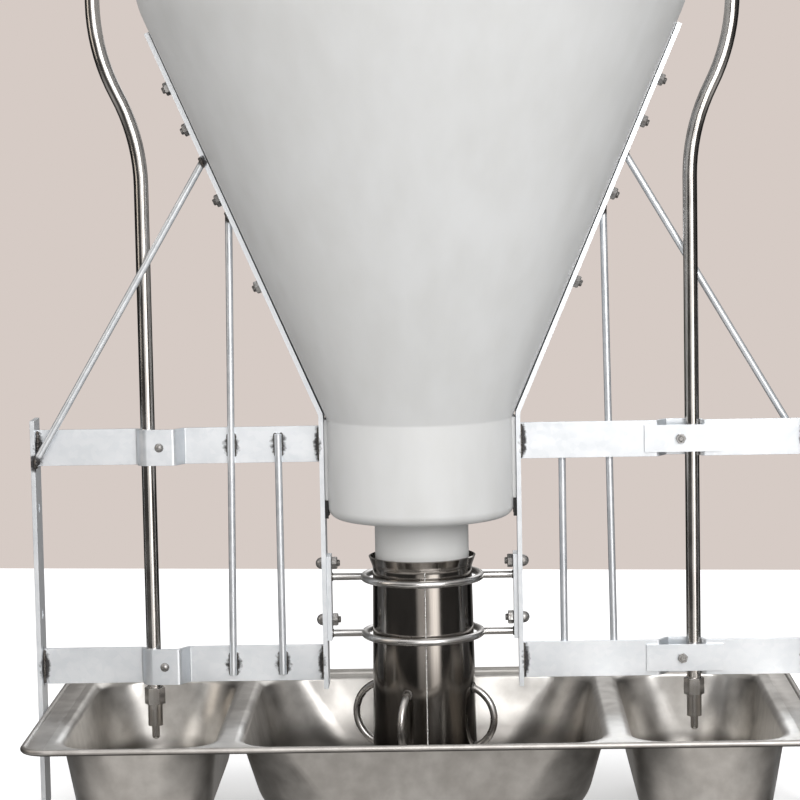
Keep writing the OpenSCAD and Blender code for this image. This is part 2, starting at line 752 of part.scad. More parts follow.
// Guides of the feed tube
module guide_plate(side) color(galvanised) on_side(side) difference() {
    translate([upright_in_x - guide_plate_t, -guide_plate_w / 2, guide_plate_low_z])
        cube([guide_plate_t - weld_gap, guide_plate_w, guide_plate_top_z - guide_plate_low_z]);
    at_guide_bolts() cylinder(r = bolt_d / 2 + hole_gap, h = 6 * strap_t, center = true);
}
module guide_ring(z) color(galvanised) translate([0, 0, rim_h + z]) {
    arm_end = upright_in_x - guide_plate_t - weld_gap;
    rotate_extrude() translate([ring_r, 0]) circle(d = ring_wire_d, $fn = 32);
    on_both_sides() translate([ring_r, 0, 0]) rotate([0, 90, 0])
        cylinder(d = ring_wire_d, h = arm_end - ring_r);
}
module guide_bolts() color(dark_steel) on_both_sides() at_guide_bolts() {
    grip = strap_t + guide_plate_t + nut_h + bolt_over;
    translate([0, 0, weld_gap]) rotate([180, 0, 0]) round_head(bolt_head_d, bolt_head_h);
    translate([0, 0, -grip]) cylinder(d = bolt_d, h = grip + weld_gap);
}
module guide_nuts() color(dark_steel) on_both_sides() at_guide_bolts()
    translate([0, 0, -strap_t - guide_plate_t - weld_gap]) rotate([180, 0, 0]) nut(nut_af, nut_h, bolt_d);

// Section of the bead round the hopper's mouth
module mouth_bead() {
    in_r = hopper_r - hopper_wall / 2;
    low_z = mouth_z - mouth_bead_h;
    translate([in_r, low_z]) square([mouth_r - in_r, mouth_bead_h - lid_corner_r]);
    translate([in_r, low_z]) square([mouth_r - in_r - lid_corner_r, mouth_bead_h]);
    translate([mouth_r - lid_corner_r, mouth_z - lid_corner_r]) circle(lid_corner_r);
}

// Hopper
module hopper() color(white_plastic) {
    wall = hopper_wall;
    turn = cone_half_angle;
    // The wall's middle line, from the spout's end up to the mouth
    path = bent_path(
        [
            [spout_r - wall / 2, neck_low_z - spout_l],
            [spout_r - wall / 2, neck_low_z + wall / 2],
            [neck_r - wall / 2, neck_low_z + wall / 2],
            [neck_r - wall / 2, neck_top_z + wall / 2 * tan(turn / 2)],
            [hopper_r - wall / 2, cone_top_z + wall / 2 * tan(turn / 2)],
            [hopper_r - wall / 2, mouth_z]
        ],
        [wall, neck_edge_r, 2 * wall, shoulder_r]
    );
    difference() {
        union() {
            rotate_extrude($fn = 96) polygon(strip(path, wall));
            rotate_extrude($fn = 96) mouth_bead();
            on_both_sides() translate([neck_r - wall / 2, -neck_pad_w / 2, neck_boss_low_z])
                cube([wall / 2 + neck_pad_t - seat_gap, neck_pad_w, neck_boss_h]);
        }
        on_both_sides() at_strap_bolts()
            cylinder(r = bolt_d / 2 + hole_gap, h = 6 * (strap_t + wall), center = true);
    }
}
module neck_pad(side) color(black_rubber) on_side(side) difference() {
    translate([neck_r - neck_pad_t, -neck_pad_w / 2, neck_low_z])
        cube([2 * neck_pad_t - weld_gap, neck_pad_w, neck_boss_low_z - neck_low_z - weld_gap]);
    cylinder(r = neck_r + weld_gap, h = far, $fn = 360);
}
module strap_bolts() color(dark_steel) on_both_sides() at_strap_bolts() {
    // The flat of the head stays clear of the cone's hollow inner face
    head_z = -strap_out - hopper_wall - seat_gap;
    translate([0, 0, head_z]) round_head(bolt_head_d, bolt_head_h);
    translate([0, 0, head_z - weld_gap]) cylinder(d = bolt_d, h = nut_h + bolt_over - head_z + weld_gap);
}
module strap_nuts() color(dark_steel) on_both_sides() at_strap_bolts()
    translate([0, 0, weld_gap]) nut(nut_af, nut_h, bolt_d);

// Lid, which lifts off
module hopper_lid() color(white_plastic) {
    skirt_r = skirt_in_r + lid_wall / 2;
    top_r = lid_top_d / 2;
    slope = atan2(lid_crown, skirt_r - top_r - lid_top_h);
    // The crown's underside clears the rounded bead by the seat's gap
    bead_in = skirt_in_r - mouth_r + lid_corner_r;
    low = mouth_z - lid_corner_r + (lid_corner_r + seat_gap) / cos(slope) - bead_in * tan(slope);
    path = bent_path(
        [
            [skirt_r, low - lid_skirt_h],
            [skirt_r, low + lid_wall / 2],
            [top_r + lid_top_h, low + lid_wall / 2 + lid_crown],
            [top_r, low + lid_wall / 2 + lid_crown + lid_top_h],
            [0, low + lid_wall / 2 + lid_crown + lid_top_h]
        ],
        [lid_corner_r + lid_wall / 2, lid_wall, lid_wall]
    );
    rotate_extrude($fn = 96) polygon(strip(path, lid_wall));
}

// Water pipe with its bore
module pipe_run(r, over) {
    top_z = rim_h + pipe_top;
    bend_z = rim_h + pipe_bend_z;
    place([pipe_x, pipe_y, pipe_low_z - over]) cylinder(r = r, h = bend_z - pipe_low_z + over);
    place([pipe_x + pipe_bend_r, pipe_y, bend_z]) rotate([90, 0, 0])
        rotate([0, 0, 180]) rotate_extrude(angle = -pipe_bend_angle)
            translate([pipe_bend_r, 0]) circle(r);
    place([pipe_x + pipe_shift - pipe_bend_r, pipe_y, bend_z + pipe_rise]) rotate([90, 0, 0])
        rotate_extrude(angle = -pipe_bend_angle) translate([pipe_bend_r, 0]) circle(r);
    place([pipe_x + pipe_shift, pipe_y, bend_z + pipe_rise])
        cylinder(r = r, h = top_z - bend_z - pipe_rise + over);
}
module water_pipe(side) color(stainless) on_side(side) difference() {
    pipe_run(pipe_r, 0);
    pipe_run(pipe_bore_r, 1);
}
module inlet(side) color(dark_steel) on_side(side)
    translate([pipe_x + pipe_shift, pipe_y, rim_h + pipe_top - pipe_in]) difference() {
        union() {
            hex_block(inlet_af, inlet_hex_h);
            cylinder(d = inlet_thread_d, h = inlet_hex_h + inlet_thread_l);
        }
        translate([0, 0, -1]) cylinder(r = pipe_r + weld_gap, h = pipe_in + 1 + weld_gap);
        cylinder(r = pipe_bore_r, h = far);
    }
module coupling(side) color(stainless) on_side(side)
    translate([pipe_x, pipe_y, coupling_low_z]) difference() {
        hex_block(coupling_af, coupling_h);
        translate([0, 0, -1]) cylinder(r = pipe_r + weld_gap, h = coupling_h + 2);
    }
module nipple(side) color(stainless) on_side(side)
    translate([pipe_x, pipe_y, nipple_low_z]) difference() {
        union() {
            cylinder(d = nipple_d, h = nipple_l - weld_gap);
            cylinder(r = pipe_r, h = nipple_l + nipple_spigot_l);
        }
        translate([0, 0, nipple_floor_t]) cylinder(r = nipple_bore_r, h = far);
        translate([0, 0, -1]) cylinder(r = pin_d / 2 + running_gap, h = far);
    }
module nipple_seal(side) color(black_rubber) on_side(side)
    translate([pipe_x, pipe_y, nipple_low_z + nipple_floor_t]) difference() {
        cylinder(r = nipple_bore_r - weld_gap, h = seal_t);
        translate([0, 0, -1]) cylinder(r = pin_d / 2 + hole_gap, h = seal_t + 2);
    }
module nipple_pin(side) color(stainless) on_side(side)
    translate([pipe_x, pipe_y, nipple_low_z]) {
        head_low = nipple_floor_t + seal_t + weld_gap;
        tip_r = pin_d / 2;
        translate([0, 0, tip_r - pin_out]) cylinder(r = tip_r, h = head_low + pin_out - tip_r);
        translate([0, 0, tip_r - pin_out]) sphere(tip_r);
        translate([0, 0, head_low]) cylinder(r = nipple_bore_r - pin_head_gap, h = pin_head_h);
    }

// Clamps of the water pipe on the rails
module clamp_plate(side, z) color(galvanised) on_side(side) difference() {
    low_x = tab_in_x - tab_slope_w - clamp_plate_lap;
    high_x = pipe_x + hook_r + 2 * rail_t + clamp_plate_lap;
    translate([low_x, -rail_t / 2 - clamp_plate_t, rim_h + z - clamp_plate_h / 2])
        cube([high_x - low_x, clamp_plate_t - weld_gap, clamp_plate_h]);
    at_clamp_bolts() cylinder(r = clamp_bolt_d / 2 + hole_gap, h = far, center = true);
}
module clamp_bolts() color(dark_steel) on_both_sides() at_clamp_bolts() {
    grip = tab_y + rail_t + clamp_plate_t + clamp_nut_h + bolt_over;
    translate([0, 0, weld_gap]) rotate([180, 0, 0]) round_head(clamp_nut_af, clamp_bolt_d / 2);
    translate([0, 0, -grip]) cylinder(d = clamp_bolt_d, h = grip + weld_gap);
}
module clamp_nuts() color(dark_steel) on_both_sides() at_clamp_bolts()
    translate([0, 0, -tab_y - rail_t - clamp_plate_t - weld_gap]) rotate([180, 0, 0])
        nut(clamp_nut_af, clamp_nut_h, clamp_bolt_d);

trough_rim();
side_bowl("left");  // left_bowl
centre_bowl();
side_bowl("right");  // right_bowl
pivot_stud();
height_nut();
thrust_washer();
tube_spider();
feed_tube();
stir_loop(2);  // front_stir_loop
stir_loop(3);  // right_stir_loop
stir_loop(0);  // rear_stir_loop
stir_loop(1);  // left_stir_loop
upright("left");  // left_upright
rail("left", upper_rail_z);  // left_upper_rail
rail("left", lower_rail_z);  // left_lower_rail
long_rod("left");  // left_long_rod
short_rod("left");  // left_short_rod
brace_rod("left");  // left_brace_rod
end_post("left");  // left_end_post
guide_plate("left");  // left_guide_plate
neck_pad("left");  // left_neck_pad
water_pipe("left");  // left_water_pipe
inlet("left");  // left_inlet
coupling("left");  // left_coupling
nipple("left");  // left_nipple
nipple_seal("left");  // left_nipple_seal
nipple_pin("left");  // left_nipple_pin
clamp_plate("left", upper_rail_z);  // left_upper_clamp_plate
clamp_plate("left", lower_rail_z);  // left_lower_clamp_plate
upright("right");  // right_upright
rail("right", upper_rail_z);  // right_upper_rail
rail("right", lower_rail_z);  // right_lower_rail
long_rod("right");  // right_long_rod
short_rod("right");  // right_short_rod
brace_rod("right");  // right_brace_rod
end_post("right");  // right_end_post
guide_plate("right");  // right_guide_plate
neck_pad("right");  // right_neck_pad
water_pipe("right");  // right_water_pipe
inlet("right");  // right_inlet
coupling("right");  // right_coupling
nipple("right");  // right_nipple
nipple_seal("right");  // right_nipple_seal
nipple_pin("right");  // right_nipple_pin
clamp_plate("right", upper_rail_z);  // right_upper_clamp_plate
clamp_plate("right", lower_rail_z);  // right_lower_clamp_plate
guide_ring(upper_ring_z);  // upper_guide_ring
guide_ring(lower_ring_z);  // lower_guide_ring
guide_bolts();
guide_nuts();
hopper();
hopper_lid();
strap_bolts();
strap_nuts();
clamp_bolts();
clamp_nuts();
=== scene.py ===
"""Looks of a dry feeder for pigs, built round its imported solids.

Sizes in the classes are millimetres in the part's own frame: X along the trough, Y to the back, Z up, with
the origin on the floor under the hopper's axis. A mesh is scaled to metres when it becomes an object.
The bar frame is the same after half a turn about Z, so what repeats there is listed for the +X side.
"""

import logging
import math
from dataclasses import dataclass, field, replace
from enum import Enum
from typing import Any, Iterable, Sequence

import bmesh
import bpy
from mathutils import Matrix, Vector


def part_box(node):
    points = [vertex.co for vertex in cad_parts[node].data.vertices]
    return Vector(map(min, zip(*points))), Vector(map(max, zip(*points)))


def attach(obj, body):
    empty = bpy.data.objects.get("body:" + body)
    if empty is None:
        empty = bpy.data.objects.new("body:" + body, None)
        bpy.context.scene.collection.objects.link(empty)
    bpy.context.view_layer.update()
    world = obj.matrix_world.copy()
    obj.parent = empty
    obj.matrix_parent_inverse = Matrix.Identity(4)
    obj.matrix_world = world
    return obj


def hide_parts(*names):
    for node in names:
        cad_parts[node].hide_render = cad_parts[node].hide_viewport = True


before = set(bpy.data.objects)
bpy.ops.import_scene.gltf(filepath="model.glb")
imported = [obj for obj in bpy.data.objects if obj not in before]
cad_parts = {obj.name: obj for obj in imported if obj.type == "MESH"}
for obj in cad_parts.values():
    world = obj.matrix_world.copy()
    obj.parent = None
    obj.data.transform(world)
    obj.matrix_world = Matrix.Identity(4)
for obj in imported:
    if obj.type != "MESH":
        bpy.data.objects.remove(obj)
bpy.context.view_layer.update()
LOG = logging.getLogger("pig_feeder")

# METRES is a millimetre in metres. Merge distances are metres, and angles are degrees.
METRES = 0.001
POINT_MERGE = 1e-7
FACET_MERGE = 1e-6
SHARP_ANGLE = 35.0
BEVEL_ANGLE = 40.0
FLAT_ANGLE = 0.3
NORMAL_WEIGHT = 80
CIRCLE_STEPS = 16
SIDES = ("left_", "right_")

Piece = bpy.types.Object
Socket = bpy.types.NodeSocket
Inputs = dict[Any, Any] | None
Pair = tuple[float, float]
Point = tuple[float, float, float]
Colour = tuple[float, float, float]
Spot = tuple[Point, Point]


class Body(Enum):
    """Bodies that the scene's own pieces ride on."""

    FRAME = "frame"
    TUBE = "tube"


class Slot(Enum):
    """Material slots of the record."""

    PLASTIC = "hopper_plastic"
    ZINC = "galvanised_steel"
    TROUGH = "trough_steel"
    TUBE = "tube_steel"
    LOOP = "loop_steel"
    FASTENER = "fastener_steel"
    WATER = "water_steel"
    RUBBER = "rubber"


class NodeGraph:
    """A node tree that is built in code."""

    tree: bpy.types.NodeTree

    def start(self, owner: bpy.types.Material | bpy.types.World) -> None:
        """Takes the emptied node tree of a material or a world.

        Args:
            owner: The material or the world.
        """
        owner.use_nodes = True
        self.tree = owner.node_tree
        self.tree.nodes.clear()

    def add(self, kind: str, inputs: Inputs = None, **settings: Any) -> bpy.types.Node:
        """Adds a node.

        Args:
            kind: The node's type name.
            inputs: Values or sockets for its inputs, by name or number.
            **settings: Properties set on the node.

        Returns:
            The new node.
        """
        node = self.tree.nodes.new(kind)
        for key, value in settings.items():
            setattr(node, key, value)
        for key, value in (inputs or {}).items():
            self.feed(node.inputs[key], value)
        return node

    def first(self, kind: str, inputs: Inputs = None, **settings: Any) -> Socket:
        """Adds a node and returns its first output."""
        return self.add(kind, inputs, **settings).outputs[0]

    def feed(self, socket: Socket, value: Any) -> None:
        """Feeds an input.

        Args:
            socket: The input.
            value: An output socket to link to it, or a plain value.
        """
        if isinstance(value, Socket):
            self.tree.links.new(value, socket)
        else:
            socket.default_value = value


class ShaderGraph(NodeGraph):
    """A material's node tree, with short calls for the nodes that the finishes use."""

    def __init__(self, name: str) -> None:
        """Makes the material with a principled shader and Object coordinates.

        Args:
            name: The material's name.
        """
        self.material = bpy.data.materials.new(name)
        self.start(self.material)
        self.shader = self.add("ShaderNodeBsdfPrincipled")
        self.add("ShaderNodeOutputMaterial", {"Surface": self.shader.outputs["BSDF"]})
        self.place = self.add("ShaderNodeTexCoord").outputs["Object"]

    def surface(self, **inputs: Any) -> None:
        """Feeds the shader; a double underscore in a name stands for a space."""
        for key, value in inputs.items():
            self.feed(self.shader.inputs[key.replace("__", " ")], value)

    def math(self, operation: str, *terms: Any) -> Socket:
        """Joins values one after another with Math nodes.

        Args:
            operation: What the nodes do.
            *terms: Values or sockets.

        Returns:
            The result.
        """
        result, *others = terms
        for other in others or [0.0]:
            result = self.first("ShaderNodeMath", {0: result, 1: other}, operation=operation)
        return result

    def mixed(self, a: Socket, share: float, b: Socket) -> Socket:
        """Adds two patterns, the first by its share and the second by the rest, and returns the sum."""
        return self.math("ADD", self.math("MULTIPLY", a, share), self.math("MULTIPLY", b, 1.0 - share))

    def vector(self, operation: str, a: Any, b: Any = (0.0, 0.0, 0.0)) -> Socket:
        """Adds a Vector Math node and returns its vector, or the number that it gives."""
        node = self.add("ShaderNodeVectorMath", {0: a, 1: b}, operation=operation)
        return node.outputs["Value" if operation in ("LENGTH", "DOT_PRODUCT") else "Vector"]

    def parts(self, vector: Socket) -> Sequence[Socket]:
        """Splits a vector and returns its X, Y and Z."""
        return self.add("ShaderNodeSeparateXYZ", {0: vector}).outputs

    def noise(
        self, scale: float, stretch: Point = (1, 1, 1), detail: float = 3.0, warp: float = 0.0
    ) -> Socket:
        """Adds a noise pattern in Object coordinates.

        Args:
            scale: Waves in a metre.
            stretch: Factors on the three axes.
            detail: Octaves of the noise.
            warp: Distortion of the noise.

        Returns:
            The noise's factor.
        """
        mapped = self.first("ShaderNodeMapping", {"Vector": self.place, "Scale": stretch})
        inputs = {"Vector": mapped, "Scale": scale, "Detail": detail, "Distortion": warp}
        return self.add("ShaderNodeTexNoise", inputs).outputs["Fac"]

    def cells(self, scale: float) -> Socket:
        """Adds a cell pattern and returns a grey value that is the same all over a cell."""
        node = self.add("ShaderNodeTexVoronoi", {"Vector": self.place, "Scale": scale})
        return self.first("ShaderNodeSeparateColor", {0: node.outputs["Color"]})

    def spread(self, value: Socket, low: float, high: float, start: float = 0.3, end: float = 0.7) -> Socket:
        """Maps a factor from start..end to low..high and returns the result."""
        inputs = {"Value": value, 1: start, 2: end, 3: low, 4: high}
        return self.first("ShaderNodeMapRange", inputs, interpolation_type="SMOOTHSTEP")

    def blend(self, factor: Any, a: Any, b: Any) -> Socket:
        """Mixes two colours.

        Args:
            factor: Share of the second colour.
            a: The first colour, or its socket.
            b: The second colour, or its socket.

        Returns:
            The mixture.
        """
        colours = [(*c, 1.0) if isinstance(c, tuple) else c for c in (a, b)]
        node = self.add("ShaderNodeMix", {0: factor, 6: colours[0], 7: colours[1]}, data_type="RGBA")
        return node.outputs[2]

    def bump(self, height: Socket, depth: float, strength: float, under: Socket | None = None) -> Socket:
        """Adds a bump.

        Args:
            height: Pattern of the relief.
            depth: Depth of the relief in millimetres.
            strength: Share of the relief that shows.
            under: Normal of another bump below this one.

        Returns:
            The bumped normal.
        """
        inputs: dict[str, Any] = {"Height": height, "Distance": depth * METRES, "Strength": strength}
        if under is not None:
            inputs["Normal"] = under
        return self.first("ShaderNodeBump", inputs)


class WorldGraph(ShaderGraph):
    """The world's node tree, with the same short calls."""

    def __init__(self, name: str) -> None:
        """Makes an empty world of that name."""
        self.world = bpy.data.worlds.new(name)
        self.start(self.world)


@dataclass(frozen=True)
class Finish:
    """A finish: its record slot and the colours between which it varies."""

    name: str
    slot: Slot
    dark: Colour
    light: Colour

    def material(self) -> bpy.types.Material:
        """Gives the finish's material, which is made on the first call.

        Returns:
            The material.
        """
        made = bpy.data.materials.get(self.name)
        if made is None:
            graph = ShaderGraph(self.name)
            self.paint(graph)
            made = graph.material
        return made

    def shade(self, graph: ShaderGraph, pattern: Socket, *limits: float) -> Socket:
        """Mixes the two colours by a pattern, between its limits, and returns the mixture."""
        return graph.blend(graph.spread(pattern, 0.0, 1.0, *limits), self.dark, self.light)

    def paint(self, graph: ShaderGraph) -> None:
        """Fills the node tree; each kind of finish has its own way."""
        raise NotImplementedError


@dataclass(frozen=True)
class MouldedPlastic(Finish):
    """Satin polyethylene with a wall that is a little uneven."""

    glow: float = 0.1
    glow_radius: Colour = (0.9, 0.85, 0.75)
    glow_depth: float = 12.0

    def paint(self, graph: ShaderGraph) -> None:
        """Paints soft clouds of tone, a fine skin and long waves of the wall.

        Args:
            graph: The material's node tree.
        """
        clouds = graph.noise(5.0, detail=2.0)
        dust = graph.noise(38.0, (1, 1, 0.35), detail=5.0)
        waves = graph.bump(graph.noise(11.0, (1, 1, 0.5), detail=1.0), 0.9, 0.35)
        graph.surface(
            Base__Color=self.shade(graph, graph.mixed(clouds, 0.6, dust)),
            Roughness=graph.spread(dust, 0.36, 0.48),
            Normal=graph.bump(graph.noise(900.0, detail=2.0), 0.05, 0.5, waves),
            Subsurface__Weight=self.glow,
            Subsurface__Radius=self.glow_radius,
            Subsurface__Scale=self.glow_depth * METRES,
        )


@dataclass(frozen=True)
class ZincCoat(Finish):
    """Zinc on flat bar and rod, with spangle, dull smears and burnt spots at the welds."""

    burns: tuple[Spot, ...]
    burn_dark: Colour = (0.03, 0.031, 0.034)
    burn_light: Colour = (0.13, 0.125, 0.125)
    burn_rough: float = 0.2
    burn_ragged: float = 0.9
    burn_edge: Pair = (0.6, 1.05)
    far: float = 9.0

    def burnt(self, graph: ShaderGraph) -> Socket:
        """Measures how close the surface is to a weld.

        Args:
            graph: The material's node tree.

        Returns:
            One on a weld, falling to zero at the edge of its burn.
        """
        x, y, z = graph.parts(graph.place)
        across = graph.math("MULTIPLY", y, graph.math("SIGN", x))
        turned = graph.first("ShaderNodeCombineXYZ", {0: graph.math("ABSOLUTE", x), 1: across, 2: z})
        nearest: Socket | float = self.far
        for centre, reach in self.burns:
            middle = tuple(c * METRES for c in centre)
            inverse = tuple(1.0 / (r * METRES) for r in reach)
            away = graph.vector("MULTIPLY", graph.vector("SUBTRACT", turned, middle), inverse)
            nearest = graph.math("MINIMUM", graph.vector("LENGTH", away), nearest)
        ragged = graph.math("MULTIPLY", graph.noise(260.0, detail=4.0), self.burn_ragged)
        edge = graph.math("ADD", nearest, graph.math("SUBTRACT", ragged, self.burn_ragged / 2))
        return graph.spread(edge, 1.0, 0.0, *self.burn_edge)

    def paint(self, graph: ShaderGraph) -> None:
        """Paints the spangle, the smears and the burns.

        Args:
            graph: The material's node tree.
        """
        smear = graph.noise(16.0, (1.0, 1.0, 2.2), detail=5.0, warp=0.6)
        tone = graph.mixed(graph.cells(150.0), 0.2, smear)
        burnt = self.burnt(graph)
        scale = graph.blend(graph.noise(420.0), self.burn_dark, self.burn_light)
        rough = graph.math("MULTIPLY", burnt, self.burn_rough)
        graph.surface(
            Base__Color=graph.blend(burnt, self.shade(graph, tone, 0.2, 0.8), scale),
            Metallic=0.72,
            Roughness=graph.math("ADD", graph.spread(tone, 0.3, 0.4), rough),
            Normal=graph.bump(graph.noise(130.0), 0.12, 0.35),
        )


@dataclass(frozen=True)
class BrightSteel(Finish):
    """Bare steel: drawn, rolled or turned, with its own grain and waves, and painted shade where it is given.
    """

    grain: Point = (1.0, 1.0, 1.0)
    grain_scale: float = 60.0
    wave_scale: float = 14.0
    wave_depth: float = 0.6
    rough: Pair = (0.16, 0.3)
    # Painted shade: a darker colour low on the piece, and in a bowl on faces that look up, standing for
    # reflections of shaded surfaces.
    painted_shade: Colour | None = None
    shade_heights: Pair = (45.0, 82.0)
    shade_inside: bool = True
    shade_slope: Pair = (0.02, 0.1)
    shade_drift: float = 16.0
    shade_drift_scale: float = 14.0
    floor_shade: float = 0.25
    floor_heights: Pair = (4.0, 34.0)

    def graded(self, graph: ShaderGraph, height: Socket, below: float, above: float, zs: Pair) -> Socket:
        """Grades a value between two heights, which the painted shade's drift raises, and returns the result.
        """
        start, end = ((z + self.shade_drift / 2) * METRES for z in zs)
        return graph.spread(height, below, above, start, end)

    def painted_shade_mask(self, graph: ShaderGraph) -> Socket:
        """Finds where shade is painted: low on the piece and, in a bowl, on faces that look up.

        Args:
            graph: The material's node tree.

        Returns:
            A factor, 1 under the painted shade and 0 on plain steel.
        """
        clouds = graph.noise(self.shade_drift_scale, detail=4.0)
        drift = graph.math("MULTIPLY", clouds, self.shade_drift * METRES)
        height = graph.math("ADD", graph.parts(graph.place)[2], drift)
        low = self.graded(graph, height, 1.0, 0.0, self.shade_heights)
        if not self.shade_inside:
            return low
        facing = graph.add("ShaderNodeTexCoord").outputs["Normal"]
        inside = graph.spread(graph.parts(facing)[2], 0.0, 1.0, *self.shade_slope)
        kept = self.graded(graph, height, self.floor_shade, 1.0, self.floor_heights)
        return graph.math("MULTIPLY", low, inside, kept)

    def paint(self, graph: ShaderGraph) -> None:
        """Paints the grain, clouded smudges, the sheet's waves and painted shade low down.

        Args:
            graph: The material's node tree.
        """
        grain = graph.noise(self.grain_scale, self.grain, detail=6.0)
        smudge = graph.noise(17.0, detail=5.0, warp=0.8)
        waves = graph.bump(graph.noise(self.wave_scale, detail=1.5), self.wave_depth, 0.6)
        steel = self.shade(graph, graph.mixed(grain, 0.45, smudge))
        # Painted shade is mixed into the steel's colour here.
        if self.painted_shade:
            steel = graph.blend(self.painted_shade_mask(graph), steel, self.painted_shade)
        graph.surface(
            Base__Color=steel,
            Metallic=1.0,
            Roughness=graph.spread(smudge, *self.rough),
            Normal=graph.bump(grain, 0.03, 0.5, waves),
        )


@dataclass(frozen=True)
class DullSteel(Finish):
    """Plain hardware and weld metal, dull and a little stained."""

    stain: Colour = (0.12, 0.08, 0.05)
    relief: float = 0.12

    def paint(self, graph: ShaderGraph) -> None:
        """Paints stains in the hollows of a fine relief.

        Args:
            graph: The material's node tree.
        """
        spots = graph.noise(240.0, detail=5.0, warp=0.4)
        base = self.shade(graph, graph.noise(700.0))
        graph.surface(
            Base__Color=graph.blend(graph.spread(spots, 0.0, 0.6, 0.5, 0.8), base, self.stain),
            Metallic=0.85,
            Roughness=graph.spread(spots, 0.28, 0.5),
            Normal=graph.bump(spots, self.relief, 0.6),
        )


@dataclass(frozen=True)
class BlackRubber(Finish):
    """Matt rubber with a dusty bloom."""

    def paint(self, graph: ShaderGraph) -> None:
        """Paints the bloom and a fine skin.

        Args:
            graph: The material's node tree.
        """
        bloom = graph.noise(90.0, detail=6.0)
        graph.surface(
            Base__Color=self.shade(graph, bloom),
            Roughness=graph.spread(bloom, 0.62, 0.85),
            Normal=graph.bump(graph.noise(600.0), 0.08, 0.5),
        )


@dataclass(frozen=True)
class StudioFloor(Finish):
    """Pale floor with faint clouds and a glow of its own."""

    glow: float = 0.5

    def paint(self, graph: ShaderGraph) -> None:
        """Paints the floor's tone.

        Args:
            graph: The material's node tree.
        """
        clouds = graph.noise(2.0, detail=4.0)
        graph.surface(
            Base__Color=self.shade(graph, clouds),
            Roughness=graph.spread(clouds, 0.6, 0.7),
            Emission__Color=(1.0, 1.0, 1.0, 1.0),
            Emission__Strength=self.glow,
        )


def box_mm(node: str) -> tuple[Vector, Vector]:
    """Returns a solid's lowest and highest corner in millimetres."""
    low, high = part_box(node)
    return low / METRES, high / METRES


def rounded_path(points: Sequence[Pair], radii: Sequence[float], steps: int = 10) -> list[Vector]:
    """Rounds the inner corners of a path in a plane.

    Args:
        points: Corners of the path.
        radii: A radius for each inner corner.
        steps: Steps in each arc.

    Returns:
        Points along the rounded path.
    """
    path = [Vector(points[0])]
    for before, corner, after, radius in zip(points, points[1:], points[2:], radii):
        into = (Vector(corner) - Vector(before)).normalized()
        out = (Vector(after) - Vector(corner)).normalized()
        turn = math.atan2(into.x * out.y - into.y * out.x, into.dot(out))
        start = Vector(corner) - into * radius * math.tan(abs(turn) / 2)
        centre = start + math.copysign(radius, turn) * Vector((-into.y, into.x))
        for k in range(steps + 1):
            path.append(centre + Matrix.Rotation(turn * k / steps, 2) @ (start - centre))
    path.append(Vector(points[-1]))
    return path


def strip_sides(path: Sequence[Vector], thickness: float) -> tuple[list[Vector], list[Vector]]:
    """Sets a path off to both sides.

    Args:
        path: The middle line.
        thickness: Distance between the two sides.

    Returns:
        The points on the left and on the right of the path.
    """
    runs = [(b - a).normalized() for a, b in zip(path, path[1:])]
    lefts = [Vector((-r.y, r.x)) for r in runs]
    mitres = [lefts[0]]
    for m, n in zip(lefts, lefts[1:]):
        mitres.append((m + n) / (1 + m.dot(n)))
    mitres.append(lefts[-1])
    left = [p + m * thickness / 2 for p, m in zip(path, mitres)]
    right = [p - m * thickness / 2 for p, m in zip(path, mitres)]
    return left, right


def new_object(name: str, data: bpy.types.ID) -> Piece:
    """Makes an object and puts it in the scene.

    Args:
        name: The object's name.
        data: Its mesh, light or camera.

    Returns:
        The new object.
    """
    made = bpy.data.objects.new(name, data)
    bpy.context.scene.collection.objects.link(made)
    return made


